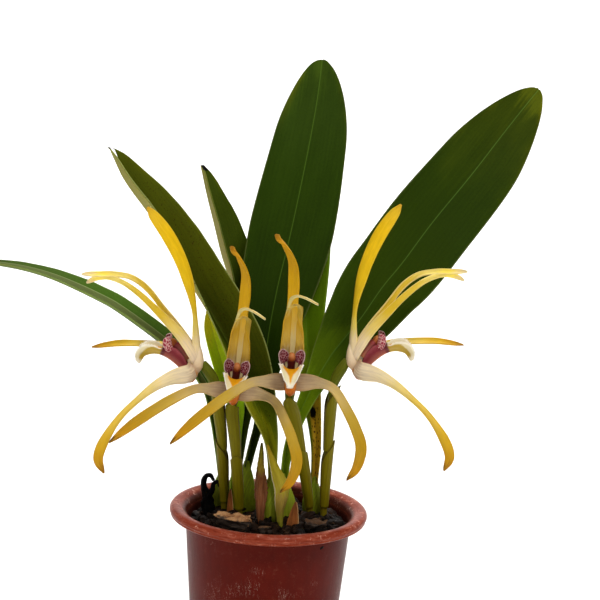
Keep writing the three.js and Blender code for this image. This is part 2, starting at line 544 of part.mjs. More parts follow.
// Each bloom: place of its base, heading, nod forward and lean to its left in degrees, tepals and scape
const BLOOMS = {
  outer_left: {
    base: [-38.2, -10, 160.7], heading: 180, nod: 6, lean: 0, mirror: -1,
    sepal: TALL_SEPAL, petals: PETALS, laterals: SIDE_SEPALS,
    stalk: [[-22.9, 8, 76], [-22.9, 7.6, 86], [-24, 4.4, 104.3], [-25, -0.4, 120.7], [-26.8, -5.5, 136]],
  },
  inner_left: {
    base: [-19.1, -16, 152.5], heading: -90, nod: 0, lean: 5, mirror: 1,
    sepal: NODDING_SEPAL, petals: CROSSED_PETALS, laterals: SPREAD_SEPALS,
    stalk: [[-15, 0.4, 76], [-15, 0.2, 86], [-16.7, -4, 106.5], [-18.2, -7.5, 122]],
  },
  inner_right: {
    base: [7.9, -27, 161], heading: -90, nod: 0, lean: 0, mirror: 1,
    sepal: NODDING_SEPAL, petals: CROSSED_PETALS, laterals: SPREAD_SEPALS,
    stalk: [[20.6, 6, 76], [20.6, 5.6, 86], [17.6, 0.5, 104.4], [14.1, -6.5, 121.8], [10.4, -13.5, 138.2]],
  },
  outer_right: {
    base: [37.5, -9, 165.9], heading: 0, nod: 0, lean: 0, mirror: 1,
    sepal: TALL_SEPAL, petals: PETALS, laterals: SIDE_SEPALS,
    stalk: [[28.1, 6.6, 76], [28.1, 6.2, 86], [28.1, 4, 106.3], [28.2, 0, 123.7], [28.2, -5, 140]],
  },
};
const OVARY = [[-9, 0, -15], [-7.4, 0, -8.4], [-2.9, 0, -2.2]];

function bloomTurn({ heading, nod, lean }) {
  const [x, y, z] = [-lean, nod, heading].map((angle) => THREE.MathUtils.degToRad(angle));
  return new THREE.Euler(x, y, z, 'ZYX');
}

// A scape with the ovary at its top and two sheathing bracts that end in slanted points
function makeScape(bloom, grow = 0) {
  const turn = bloomTurn(bloom);
  const ovary = OVARY.map((point) => vec(point).applyEuler(turn).add(vec(bloom.base)).toArray());
  const outward = vec([1, 0, 0.2]).applyEuler(turn).toArray();
  const spine = deeper([...bloom.stalk, ...ovary], grow);
  const radius = profile([[0, 1.7], [0.6, 1.9], [0.8, 1.6], [0.92, 2.1], [1, 1.6]]);
  const stemSection = (t) => roundSection(radius(t) + grow, radius(t) + grow, 6);
  const stem = loft(stationsAlong(spine, [outward, outward], 10), stemSection);
  const whole = stationsAlong(spine, [outward, outward], 12);
  const bracts = [[2, 6, 2.5], [6, 10, 2.7]].map(([from, to, wide]) => {
    const stations = whole.slice(from, to + 1);
    const mouth = profile([[from / 12, wide * 0.82], [(from + 2) / 12, wide], [to / 12, wide * 1.22]]);
    return loft(stations, (t) => {
      const point = t > (to - 0.5) / 12 ? (angle) => 3.4 * (Math.sin(angle) - 0.4) : () => 0;
      return roundSection(mouth(t) + grow, mouth(t) + grow, 8, point);
    });
  });
  return joinAll([stem, ...bracts]);
}

// Dry and young sheaths at the feet of the pseudobulbs, as folded scales that stand in the bark mix
const SHEATHS = {
  dry_sheath_centre: {
    spine: [[-4, -12, 77], [-4.6, -12.2, 90], [-4.8, -10.4, 104], [-4.8, -7, 119]],
    faces: [[0.5, 0.85, 0], [0.2, 1, 0]],
    widths: [[0, 3.2], [0.25, 5.4], [0.5, 5.2], [0.72, 3.2], [0.88, 1.7], [1, 0.5]],
    folds: [[0, 36], [0.5, 34], [1, 30]],
  },
  young_sheath: {
    spine: [[6.8, -14.6, 77], [6.4, -14.8, 90], [7.2, -13.2, 100], [3, -11, 110], [-2, -9.6, 122]],
    faces: [[-0.2, 1, 0], [-0.5, 1, 0]],
    widths: [[0, 2.2], [0.25, 3.6], [0.45, 4.6], [0.65, 3.4], [0.85, 1.8], [1, 0.5]],
    folds: [[0, 40], [0.5, 40], [1, 36]],
  },
  dry_sheath_right: {
    spine: [[12, -12, 77], [12.6, -12, 84], [13.6, -11.4, 94]],
    faces: [[0, -1, 0], [0, -1, 0]],
    widths: [[0, 3.8], [0.4, 3.6], [0.75, 2.2], [1, 0.5]],
    folds: [[0, 26], [1, 34]],
  },
  dry_sheath_left: {
    spine: [[-19.6, 1, 77], [-19.4, 0.8, 86], [-19.8, 1.4, 95]],
    faces: [[0, -1, 0], [0, -1, 0]],
    widths: [[0, 1.8], [0.4, 2], [0.75, 1.4], [1, 0.4]],
    folds: [[0, 30], [1, 40]],
  },
};

function makeSheath({ spine, faces, widths, folds }, grow = 0) {
  const halfWidth = profile(widths);
  const fold = profile(folds);
  return loft(stationsAlong(deeper(spine, grow), faces, 6), (t) => (
    foldedSection(halfWidth(t), THREE.MathUtils.degToRad(fold(t)), 0.9, 0.1, grow)));
}

// A black curled remnant of an old stem at the left
const REMNANT = [[-30.4, 6.5, 76], [-31.4, 7, 87], [-33.6, 7.5, 94], [-33.2, 7.5, 98.8], [-30.6, 7.2, 100],
  [-28.8, 7, 97.4]];

function makeRemnant(grow = 0) {
  const radius = profile([[0, 3], [0.3, 2.3], [0.5, 1.3], [1, 0.6]]);
  const stations = stationsAlong(deeper(REMNANT, grow), [[0, -1, 0], [0, -1, 0]], 12);
  return loft(stations, (t) => roundSection(radius(t) + grow, radius(t) + grow, 6));
}

// Put everything together

const plastic = paint(0x8c4334, 0.42);
const bark = paint(0x2a1d16, 0.95);
const chipBark = paint(0x8f6a48, 0.9);
const bulbGreen = paint(0x5f8c1e, 0.5);
const darkLeaf = paint(0x2c4407, 0.38);
const oliveLeaf = paint(0x3e4a0a, 0.4);
const midLeaf = paint(0x46701a, 0.42);
const youngLeaf = paint(0x6f9c18, 0.45);
const stemOlive = paint(0x7c820f, 0.5);
const petalYellow = paint(0xe8be3a, 0.5);
const lipMaroon = paint(0x9c3040, 0.5);
const columnCream = paint(0xcfa268, 0.5);
const drySheath = paint(0x7a4a30, 0.85);
const freshSheath = paint(0xa89a28, 0.6);
const black = paint(0x14100e, 0.8);

const LEAF_PAINT = {
  leaf_centre: darkLeaf, leaf_right: darkLeaf, leaf_left: oliveLeaf, leaf_back_left: midLeaf,
  leaf_low_left: midLeaf, leaf_back_right: midLeaf, leaf_young: youngLeaf,
};

const plant = new THREE.Group();
plant.add(toMesh('pot', makePot(), plastic));

const cutters = [
  makeBulbs(SEAT),
  makeRemnant(SEAT),
  makeLeaf(LEAVES.leaf_young, SEAT),
  ...Object.values(BLOOMS).map((bloom) => makeScape(bloom, SEAT)),
  ...Object.values(SHEATHS).map((sheath) => makeSheath(sheath, SEAT)),
  ...Object.values(CHIPS).map((chip) => chipBody(chip, SEAT)),
];
plant.add(toMesh('bark_mix', makeSubstrate(cutters), bark));
Object.entries(CHIPS).forEach(([name, chip]) => plant.add(toMesh(name, chipBody(chip, 0), chipBark)));
plant.add(toMesh('rhizome_and_pseudobulbs', makeBulbs(), bulbGreen));
Object.entries(LEAVES).forEach(([name, leaf]) => plant.add(toMesh(name, makeLeaf(leaf), LEAF_PAINT[name])));
Object.entries(SHEATHS).forEach(([name, sheath]) => {
  plant.add(toMesh(name, makeSheath(sheath), name === 'young_sheath' ? freshSheath : drySheath));
});
plant.add(toMesh('curled_remnant', makeRemnant(), black));

for (const [name, bloom] of Object.entries(BLOOMS)) {
  plant.add(toMesh(`scape_${name}`, makeScape(bloom), stemOlive));
  const flower = new THREE.Group();
  flower.position.set(...bloom.base);
  flower.rotation.copy(bloomTurn(bloom));
  flower.add(toMesh(`tepals_${name}`, makeTepals(bloom), petalYellow));
  flower.add(toMesh(`lip_${name}`, makeLip(), lipMaroon));
  flower.add(toMesh(`column_${name}`, makeColumn(), columnCream));
  plant.add(flower);
}

export default plant;
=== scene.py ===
"""A potted orchid with spidery yellow blooms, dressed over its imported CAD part. Lengths are millimetres."""

import math

import bmesh
import bpy
import numpy as np
from mathutils import Matrix, Vector, noise


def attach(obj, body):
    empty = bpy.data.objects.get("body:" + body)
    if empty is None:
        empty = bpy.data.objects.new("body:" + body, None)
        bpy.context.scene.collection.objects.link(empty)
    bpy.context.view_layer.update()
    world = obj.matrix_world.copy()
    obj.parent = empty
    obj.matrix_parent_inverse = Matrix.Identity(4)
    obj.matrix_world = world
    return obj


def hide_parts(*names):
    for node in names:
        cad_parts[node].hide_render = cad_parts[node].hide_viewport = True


MM = 0.001

# Pot
POT_HEIGHT = 88
RIM_RADIUS = 50
NECK_RADIUS = 42
BASE_RADIUS = 35
WALL = 1.3
FLOOR = 1.6
RIM_DEPTH = 5.4
DRAIN_HOLES = 6
DRAIN_RADIUS = 3.2
DRAIN_CIRCLE = 21

# Bark mix. MOUND_SQUARE is the square of the radius where its mound ends. Lumps lie within LUMPY_RADIUS.
SOIL_EDGE = 79.5
SOIL_CROWN = 3
SOIL_GAP = 0.3
SOIL_WALL_GAP = 0.6
SOIL_RINGS = 34
SOIL_SEGMENTS = 110
MOUND_SQUARE = 1500
LUMPY_RADIUS = 37
LUMPY_FROM = 78
LUMP_DENSITY = 3.0e6
LUMP_TILT = 0.7
LUMP_BREADTH = 0.62
LUMP_HEIGHT = 0.42
DENTS_PER_METRE = 330.0

# Blades
LEAF_THICKNESS = 0.95
LEAF_KEEL = 0.5
LEAF_COLUMNS = 26
LEAF_ROWS = 90
TEPAL_THICKNESS = 0.9
TEPAL_COLUMNS = 13
TEPAL_ROWS = 60
BLADE_CROWD = 1.5
KEEL_WIDTH = 1.1
SPLIT_SPREAD = 0.12
WAVES_PER_METRE = 90
TEARS_PER_METRE = 900

# Fringe hairs: smallest and largest share of their length, and how far they stray
HAIR_SIZES = (0.55, 1.25)
HAIR_SCATTER = 0.35

# Smooth lines: steps between two points, and how far round a place its direction is read
LINE_STEPS = 40
LINE_REACH = 0.4

# Faces that look one way all along a piece
TO_VIEWER = [(0, -1, 0)] * 2
UPWARD = [(0, 0, 1)] * 2
AHEAD = [(1, 0, 0)] * 2

# Camera: what it looks at, how far off it is, its angles in degrees, lens and sensor
CAMERA_AIM = (10.3, 0, 193.9)
CAMERA_DISTANCE = 700
CAMERA_PITCH = 8.75
CAMERA_ROLL = 3.03
CAMERA_LENS = 84.8
SENSOR = 36

RANDOM_SEED = 7

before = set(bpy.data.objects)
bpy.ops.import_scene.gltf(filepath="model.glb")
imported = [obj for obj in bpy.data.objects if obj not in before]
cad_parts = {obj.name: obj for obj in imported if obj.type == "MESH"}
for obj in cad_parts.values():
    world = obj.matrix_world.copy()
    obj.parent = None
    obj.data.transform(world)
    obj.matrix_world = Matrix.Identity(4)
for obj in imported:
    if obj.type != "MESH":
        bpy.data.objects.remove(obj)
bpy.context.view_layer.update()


# Node trees


class Field:
    """A number in a node tree that can be added, multiplied and so on."""

    def __init__(self, nodes, socket):
        self.nodes = nodes
        self.socket = socket

    def __add__(self, other):
        return self.nodes.math("ADD", self, other)

    def __radd__(self, other):
        return self.nodes.math("ADD", other, self)

    def __sub__(self, other):
        return self.nodes.math("SUBTRACT", self, other)

    def __rsub__(self, other):
        return self.nodes.math("SUBTRACT", other, self)

    def __mul__(self, other):
        return self.nodes.math("MULTIPLY", self, other)

    def __truediv__(self, other):
        return self.nodes.math("DIVIDE", self, other)

    def __pow__(self, other):
        return self.nodes.math("POWER", self, other)


class Nodes:
    """Adds nodes to a tree in few words. Inputs take numbers, names, fields or sockets."""

    def __init__(self, tree):
        self.tree = tree

    def add(self, kind, inputs=None, **settings):
        made = self.tree.nodes.new(kind)
        for key, value in settings.items():
            setattr(made, key, value)
        for key, value in (inputs or {}).items():
            self.feed(self.pick(made.inputs, key), value)
        return made

    def out(self, kind, inputs=None, **settings):
        """The first output of a new node."""
        return self.add(kind, inputs, **settings).outputs[0]

    @staticmethod
    def pick(sockets, key):
        if isinstance(key, int):
            return sockets[key]
        return next(s for s in sockets if s.name == key and s.enabled)

    def feed(self, socket, value):
        if isinstance(value, Field):
            value = value.socket
        if isinstance(value, bpy.types.NodeSocket):
            self.tree.links.new(value, socket)
        else:
            socket.default_value = value

    def field(self, made, output=0):
        return Field(self, self.pick(made.outputs, output))

    def math(self, operation, a, b=0.0):
        return self.field(self.add("ShaderNodeMath", {0: a, 1: b}, operation=operation))

    def clamp(self, value):
        """The value, kept between 0 and 1."""
        return self.math("MINIMUM", self.math("MAXIMUM", value, 0.0), 1.0)

    def step(self, value, start, end):
        """Eases from 0 at start to 1 at end."""
        kind = {"interpolation_type": "SMOOTHSTEP"}
        made = self.add("ShaderNodeMapRange", {"Value": value, "From Min": start, "From Max": end}, **kind)
        return self.field(made, "Result")

    def combine(self, x, y, z=0.0):
        return self.out("ShaderNodeCombineXYZ", {0: x, 1: y, 2: z})

    def parts(self, vector):
        made = self.add("ShaderNodeSeparateXYZ", {0: vector})
        return [self.field(made, i) for i in range(3)]

    def vector(self, operation, a, b=None, scale=None):
        inputs = {0: a}
        if b is not None:
            inputs[1] = b
        if scale is not None:
            inputs["Scale"] = scale
        return self.out("ShaderNodeVectorMath", inputs, operation=operation)

    def noise(self, vector, scale=1.0, detail=3.0, roughness=0.55):
        inputs = {"Vector": vector, "Scale": scale, "Detail": detail, "Roughness": roughness}
        return self.field(self.add("ShaderNodeTexNoise", inputs))

    def chance(self, low, high, seed, kind="FLOAT"):
        """A random value for each point, between two numbers or vectors."""
        made = self.add("FunctionNodeRandomValue", {"Min": low, "Max": high, "Seed": seed}, data_type=kind)
        return self.pick(made.outputs, "Value")


def geometry_tree(name, sockets):
    """A geometry node tree with a Geometry input, the given named inputs and a Geometry output."""
    tree = bpy.data.node_groups.new(name, "GeometryNodeTree")
    tree.interface.new_socket("Geometry", in_out="INPUT", socket_type="NodeSocketGeometry")
    for label, kind in sockets:
        tree.interface.new_socket(label, in_out="INPUT", socket_type="NodeSocket" + kind)
    tree.interface.new_socket("Geometry", in_out="OUTPUT", socket_type="NodeSocketGeometry")
    nodes = Nodes(tree)
    return nodes, nodes.add("NodeGroupInput").outputs, nodes.add("NodeGroupOutput").inputs[0]


def row_reader(nodes, source, share):
    """A function that reads a named value of the guide, at the row where a share of its length lies."""
    row = nodes.math("ROUND", share * (Field(nodes, source["Rows"]) - 1))

    def read(name, kind="FLOAT"):
        named = nodes.add("GeometryNodeInputNamedAttribute", {"Name": name}, data_type=kind)
        value = nodes.pick(named.outputs, "Attribute")
        inputs = {"Geometry": source["Geometry"], "Value": value, "Index": row}
        return nodes.out("GeometryNodeSampleIndex", inputs, data_type=kind, domain="POINT")
    return read


def beside(nodes, read, sideways, forward):
    """A point so far from the guide along its side and its face."""
    side = nodes.vector("SCALE", read("side", "FLOAT_VECTOR"), scale=sideways)
    face = nodes.vector("SCALE", read("face", "FLOAT_VECTOR"), scale=forward)
    return nodes.vector("ADD", nodes.vector("ADD", read("origin", "FLOAT_VECTOR"), side), face)


def capture(nodes, mesh, *values):
    """Keeps vectors as they are on the mesh now."""
    kept = []
    for value in values:
        made = nodes.add("GeometryNodeCaptureAttribute", domain="POINT")
        made.capture_items.new("VECTOR", "Kept")
        nodes.feed(made.inputs[0], mesh)
        nodes.feed(made.inputs[1], value)
        mesh = made.outputs[0]
        kept.append(made.outputs[1])
    return [mesh, *kept]


def finish_tree(nodes, mesh, place, share, material, result):
    """Stores where each point lies on its piece, for the materials, and ends the tree."""
    for name, value in (("place", place), ("share", share)):
        stored = {"Geometry": mesh, "Name": name, "Value": value}
        mesh = nodes.out("GeometryNodeStoreNamedAttribute", stored, data_type="FLOAT_VECTOR")
    real = nodes.out("GeometryNodeRealizeInstances", {"Geometry": mesh})
    smooth = nodes.out("GeometryNodeSetShadeSmooth", {"Geometry": real})
    nodes.feed(result, nodes.out("GeometryNodeSetMaterial", {"Geometry": smooth, "Material": material}))


def shape_tree(nodes, mesh, point, place, share, material, result):
    """Moves a flat or straight mesh to its points and ends the tree. It reads place and share before."""
    mesh, place, share = capture(nodes, mesh, place, share)
    mesh = nodes.out("GeometryNodeSetPosition", {"Geometry": mesh, "Position": point})
    finish_tree(nodes, mesh, place, share, material, result)


def make_blade_tree():
    """A blade along its guide: folded along its middle, curled across and torn or waved at its margins."""
    sockets = [("Columns", "Int"), ("Rows", "Int"), ("Lift", "Float"), ("Wave", "Float"), ("Tear", "Float"),
               ("Split", "Float"), ("Material", "Material")]
    nodes, source, result = geometry_tree("blade", sockets)
    sizes = {"Size X": 2.0, "Size Y": 1.0, "Vertices X": source["Columns"], "Vertices Y": source["Rows"]}
    grid = nodes.out("GeometryNodeMeshGrid", sizes)
    u, v, _ = nodes.parts(nodes.out("GeometryNodeInputPosition"))
    # The tip's split parts the faces on the middle line
    middle = nodes.math("LESS_THAN", nodes.math("ABSOLUTE", u), 0.02)
    parted = middle * nodes.math("GREATER_THAN", v + 0.5, source["Split"])
    grid = nodes.out("GeometryNodeDeleteGeometry", {"Geometry": grid, "Selection": parted}, domain="FACE")
    read = row_reader(nodes, source, v + 0.5)
    names = ("width", "fold", "curl", "run", "part", "gap")
    width, fold, curl, run, part, gap = (Field(nodes, read(name)) for name in names)
    hand = nodes.math("SIGN", u)
    reach = nodes.math("ABSOLUTE", u)
    reach = reach + gap * (1 - reach)
    bend = fold + curl * reach
    # A lively margin: waves lift it and tears cut into it
    edge = nodes.combine(run * WAVES_PER_METRE, hand * 7, width * 300)
    ragged = nodes.noise(nodes.combine(run * TEARS_PER_METRE, hand * 9), 1.0, 4.0, 0.7)
    torn = 1 - nodes.clamp((ragged - 0.45) * 4) * Field(nodes, source["Tear"]) * reach ** 3
    wave = (nodes.noise(edge, 1.0, 1.0) - 0.5) * Field(nodes, source["Wave"]) * reach ** 2
    across = hand * width * (nodes.math("SINE", bend) - nodes.math("SINE", fold)) / curl * torn
    rise = width * (nodes.math("COSINE", fold) - nodes.math("COSINE", bend)) / curl + wave
    point = beside(nodes, read, across, rise + Field(nodes, source["Lift"]))
    place = nodes.combine(hand * reach * width * 1000, run * 1000, hand)
    share = nodes.combine(reach, part, u)
    shape_tree(nodes, grid, point, place, share, source["Material"], result)
    return nodes.tree


def make_stem_tree():
    """A closed round or oval stem that follows its guide, with flutes along it."""
    sockets = [("Sides", "Int"), ("Rows", "Int"), ("Flutes", "Float"), ("Flute Depth", "Float"),
               ("Knobs", "Float"), ("Material", "Material")]
    nodes, source, result = geometry_tree("stem", sockets)
    segments = Field(nodes, source["Rows"]) - 1
    sizes = {"Vertices": source["Sides"], "Side Segments": segments, "Radius": 1.0, "Depth": 1.0}
    tube = nodes.out("GeometryNodeMeshCylinder", sizes, fill_type="NGON")
    x, y, z = nodes.parts(nodes.out("GeometryNodeInputPosition"))
    read = row_reader(nodes, source, z + 0.5)
    width, depth, run, part = (Field(nodes, read(name)) for name in ("width", "depth", "run", "part"))
    angle = nodes.math("ARCTAN2", y, x)
    ripple = nodes.math("COSINE", angle * Field(nodes, source["Flutes"]))
    knobbly = nodes.noise(nodes.combine(x * 1.3, y * 1.3, run * 260), 1.0, 2.0) - 0.5
    swell = ripple * Field(nodes, source["Flute Depth"]) + knobbly * Field(nodes, source["Knobs"]) + 1
    point = beside(nodes, read, x * width * swell, y * depth * swell)
    place = nodes.combine(angle * width * 1000, run * 1000, angle)
    shape_tree(nodes, tube, point, place, nodes.combine(x, part, y), source["Material"], result)
    return nodes.tree


def make_fringe_tree():
    """Short tapered hairs on every point of the guide, pointing outward with a little scatter."""
    sockets = [("Length", "Float"), ("Thickness", "Float"), ("Seed", "Int"), ("Material", "Material")]
    nodes, source, result = geometry_tree("fringe", sockets)
    cone = {"Vertices": 4, "Radius Top": 0.0, "Radius Bottom": source["Thickness"],
            "Depth": source["Length"]}
    hair = nodes.out("GeometryNodeMeshCone", cone, fill_type="NONE")
    outward = nodes.add("GeometryNodeInputNamedAttribute", {"Name": "outward"}, data_type="FLOAT_VECTOR")
    low, high = ([limit] * 3 for limit in (-HAIR_SCATTER, HAIR_SCATTER))
    scatter = nodes.chance(low, high, source["Seed"], "FLOAT_VECTOR")
    direction = nodes.vector("ADD", nodes.pick(outward.outputs, "Attribute"), scatter)
    turn = nodes.out("FunctionNodeAlignRotationToVector", {"Vector": direction}, axis="Z")
    size = nodes.chance(*HAIR_SIZES, source["Seed"])
    points = {"Points": source["Geometry"], "Instance": hair, "Rotation": turn, "Scale": size}
    hairs = nodes.out("GeometryNodeInstanceOnPoints", points)
    zero = nodes.combine(0.0, 0.0)
    finish_tree(nodes, hairs, zero, zero, source["Material"], result)
    return nodes.tree


def make_scatter_tree():
    """Irregular lumps strewn on a surface: turned, sized and dented each in its own way."""
    sockets = [("Spacing", "Float"), ("Smallest", "Float"), ("Largest", "Float"), ("Detail", "Int"),
               ("Seed", "Int"), ("Material", "Material")]
    nodes, source, result = geometry_tree("scatter", sockets)
    spread = {"Mesh": source["Geometry"], "Distance Min": source["Spacing"], "Density Max": LUMP_DENSITY,
              "Seed": source["Seed"]}
    points = nodes.out("GeometryNodeDistributePointsOnFaces", spread, distribute_method="POISSON")
    lump = nodes.out("GeometryNodeMeshIcoSphere", {"Radius": 0.5, "Subdivisions": source["Detail"]})
    turn = nodes.chance((0.0, 0.0, 0.0), (LUMP_TILT, LUMP_TILT, 6.283), source["Seed"], "FLOAT_VECTOR")
    size = Field(nodes, nodes.chance(source["Smallest"], source["Largest"], source["Seed"]))
    shape = nodes.combine(size, size * LUMP_BREADTH, size * LUMP_HEIGHT)
    strewn = {"Points": points, "Instance": lump, "Rotation": turn, "Scale": shape}
    lumps = nodes.out("GeometryNodeInstanceOnPoints", strewn)
    real = nodes.out("GeometryNodeRealizeInstances", {"Geometry": lumps})
    where = nodes.out("GeometryNodeInputPosition")
    normal = nodes.out("GeometryNodeInputNormal")
    dent = (nodes.noise(where, DENTS_PER_METRE, 2.0) - 0.5) * (Field(nodes, source["Largest"]) * 0.5)
    moved = {"Geometry": real, "Offset": nodes.vector("SCALE", normal, scale=dent)}
    dented = nodes.out("GeometryNodeSetPosition", moved)
    zero = nodes.combine(0.0, 0.0)
    finish_tree(nodes, dented, zero, zero, source["Material"], result)
    return nodes.tree


# Guides: the line that a piece follows, with its values at each row


def run_along(spine, count, crowd=1.0):
    """Places, directions, run and share along a smooth line through points, crowded towards its end."""
    points = np.array(spine, float)
    points = np.vstack([2 * points[0] - points[1], points, 2 * points[-1] - points[-2]])
    s = np.linspace(0, 1, LINE_STEPS, endpoint=False)[:, None]
    dense = []
    for a, b, c, d in zip(points, points[1:], points[2:], points[3:]):
        square = (2 * a - 5 * b + 4 * c - d) * s**2
        cube = (3 * b - a - 3 * c + d) * s**3
        dense.append(0.5 * (2 * b + (c - a) * s + square + cube))
    dense = np.vstack([*dense, points[-2]])
    length = np.r_[0, np.cumsum(np.linalg.norm(np.diff(dense, axis=0), axis=1))]

    def place(run):
        return np.stack([np.interp(run, length, dense[:, k]) for k in range(3)], 1)

    part = 1 - (1 - np.linspace(0, 1, count)) ** crowd
    run = part * length[-1]
    tangent = place(run + LINE_REACH) - place(run - LINE_REACH)
    return place(run), tangent / np.linalg.norm(tangent, axis=1)[:, None], run, part


def profile(pairs):
    """A value along a piece, eased smoothly between (position, value) pairs."""
    at, value = np.array(pairs, float).T
    before = np.r_[0, np.arange(len(at) - 1)]
    after = np.r_[np.arange(1, len(at)), len(at) - 1]
    slope = (value[after] - value[before]) / (at[after] - at[before])

    def read(t):
        t = np.clip(t, at[0], at[-1])
        i = np.clip(np.searchsorted(at, t), 1, len(at) - 1)
        span = at[i] - at[i - 1]
        s = (t - at[i - 1]) / span
        eased = value[i - 1] + (value[i] - value[i - 1]) * s * s * (3 - 2 * s)
        return np.maximum(eased + s * (1 - s) * span * ((1 - s) * slope[i - 1] - s * slope[i]), 0)
    return read


def facing(faces, part, tangent):
    """Face directions along a piece, square to its line."""
    faces = np.array(faces, float)
    faces /= np.linalg.norm(faces, axis=1)[:, None]
    place = part * (len(faces) - 1)
    first = np.minimum(place.astype(int), len(faces) - 2)
    mixed = faces[first] + (faces[first + 1] - faces[first]) * (place - first)[:, None]
    mixed -= (mixed * tangent).sum(1)[:, None] * tangent
    return mixed / np.linalg.norm(mixed, axis=1)[:, None]


def guide_mesh(name, origin, **values):
    """A line of points in metres that carries values for the node trees."""
    mesh = bpy.data.meshes.new(name)
    mesh.from_pydata([tuple(p) for p in origin * MM], [(i, i + 1) for i in range(len(origin) - 1)], [])
    for key, value in {"origin": origin * MM, **values}.items():
        value = np.asarray(value, float)
        if value.ndim == 2:
            layer = mesh.attributes.new(key, "FLOAT_VECTOR", "POINT")
            layer.data.foreach_set("vector", value.astype(np.float32).ravel())
        else:
            layer = mesh.attributes.new(key, "FLOAT", "POINT")
            layer.data.foreach_set("value", value.astype(np.float32))
    return mesh


def link(name, mesh):
    made = bpy.data.objects.new(name, mesh)
    bpy.context.scene.collection.objects.link(made)
    return made


def plain(obj):
    """Turns an object with modifiers into a plain mesh."""
    graph = bpy.context.evaluated_depsgraph_get()
    kept = {"preserve_all_data_layers": True, "depsgraph": graph}
    mesh = bpy.data.meshes.new_from_object(obj.evaluated_get(graph), **kept)
    obj.modifiers.clear()
    obj.data = mesh
    return obj


def grow(name, guide, tree, **inputs):
    """Runs a node tree on a guide or mesh and keeps the plain result."""
    made = link(name, guide)
    modifier = made.modifiers.new("grow", "NODES")
    modifier.node_group = tree
    sockets = {s.name: s.identifier for s in tree.interface.items_tree if s.in_out == "INPUT"}
    for key, value in inputs.items():
        modifier[sockets[key.replace("_", " ")]] = value
    return plain(made)


def values_of(obj, name):
    """A named vector value of every vertex, as rows."""
    read = np.zeros(len(obj.data.vertices) * 3, np.float32)
    obj.data.attributes[name].data.foreach_get("vector", read)
    return read.reshape(-1, 3)


def thicken(obj, thickness, keel=0.0, thin_edge=0.3, back=None):
    """Gives a blade its thickness towards its back, with a keel along its middle and a finer margin."""
    across = values_of(obj, "place")[:, 0]
    reach = values_of(obj, "share")[:, 0]
    full = thickness + keel
    share = (thickness * (1 - thin_edge * reach) + keel * np.exp(-((across / KEEL_WIDTH) ** 2))) / full
    group = obj.vertex_groups.new(name="thickness")
    for i, weight in enumerate(share):
        group.add([i], float(weight), "REPLACE")
    if back:
        obj.data.materials.append(back)
    solid = obj.modifiers.new("thickness", "SOLIDIFY")
    solid.thickness = full * MM
    solid.offset = -1
    solid.vertex_group = "thickness"
    solid.material_offset = 1 if back else 0
    plain(obj)
    obj.vertex_groups.clear()
    return obj


def blade(name, spine, faces, widths, material, back=None, folds=((0, 0), (1, 0)),
          curls=((0, 0.05), (1, 0.05)), thickness=TEPAL_THICKNESS, keel=0.0, thin_edge=0.3,
          columns=TEPAL_COLUMNS, rows=TEPAL_ROWS, wave=0.0, tear=0.0, tip=0.0, notch=0.0, place=None):
    """A leaf-like piece. Folds and curls are in degrees, tip is the share of the length that rounds off, and
    notch is how deep the tip is split."""
    origin, tangent, run, part = run_along(spine, rows, BLADE_CROWD)
    face = facing(faces, part, tangent)
    width = profile(widths)(part)
    if tip:
        past = np.maximum(0, (part - 1 + tip) / tip)
        width = width * np.sqrt(np.maximum(0.0005, 1 - past * past))
    past_split = np.maximum(0, run - run[-1] + notch) if notch else np.zeros(rows)
    split = np.argmax(past_split > 0) / (rows - 1) if notch else 2.0
    guide = guide_mesh(
        name, origin, side=np.cross(tangent, face), face=face, width=width * MM, run=run * MM, part=part,
        fold=np.radians(profile(folds)(part)), curl=np.maximum(np.radians(profile(curls)(part)), 0.02),
        gap=np.minimum(0.8, past_split * SPLIT_SPREAD / np.maximum(width, 0.1)))
    made = grow(name, guide, BLADE, Columns=columns, Rows=rows, Lift=thickness / 2 * MM, Wave=wave * MM,
                Tear=tear, Split=split, Material=material)
    thicken(made, thickness, keel, thin_edge, back)
    return put(made, place)


def stem(name, spine, faces, widths, material, depths=None, sides=16, rows=50, flutes=0, flute_depth=0.0,
         knobs=0.0, place=None):
    """A closed stem through points. Widths and depths are half sizes along it."""
    origin, tangent, run, part = run_along(spine, rows)
    face = facing(faces, part, tangent)
    width = widths(part) if callable(widths) else profile(widths)(part)
    depth = profile(depths)(part) if depths else width
    guide = guide_mesh(name, origin, side=np.cross(face, tangent), face=face, width=width * MM,
                       depth=depth * MM, run=run * MM, part=part)
    made = grow(name, guide, STEM, Sides=sides, Rows=rows, Flutes=float(flutes), Flute_Depth=flute_depth,
                Knobs=knobs, Material=material)
    return put(made, place)


def ball(name, centre, axis, half_length, half_width, material, **more):
    """A closed egg about an axis."""
    centre, axis = np.array(centre, float), np.array(axis, float)
    axis /= np.linalg.norm(axis)
    spine = [tuple(centre + axis * half_length * s) for s in (-1, -0.5, 0, 0.5, 1)]
    faces = [(axis[1], axis[2], axis[0] + 0.3)] * 2

    def rounded(part):
        return half_width * np.sqrt(np.maximum(0.0004, 1 - (2 * part - 1) ** 2))
    return stem(name, spine, faces, rounded, material, rows=24, **more)


def put(obj, place):
    """Moves a piece's mesh to its place, where it has one."""
    if place is not None:
        obj.data.transform(place)
    return obj


def join(name, pieces):
    """One piece from several."""
    with bpy.context.temp_override(active_object=pieces[0], selected_editable_objects=pieces):
        bpy.ops.object.join()
    pieces[0].name = name
    pieces[0].data.name = name
    return pieces[0]


def dress(piece, slot, *nodes):
    """The finished piece stands for CAD nodes, which it hides. Its slot is not used."""
    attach(piece, "root")
    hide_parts(*nodes)
    return piece


# Materials


def srgb(text):
    """Linear colour from a hex sRGB colour."""
    channels = [int(text[i:i + 2], 16) / 255 for i in (0, 2, 4)]
    return (*[c / 12.92 if c <= 0.04045 else ((c + 0.055) / 1.055) ** 2.4 for c in channels], 1.0)


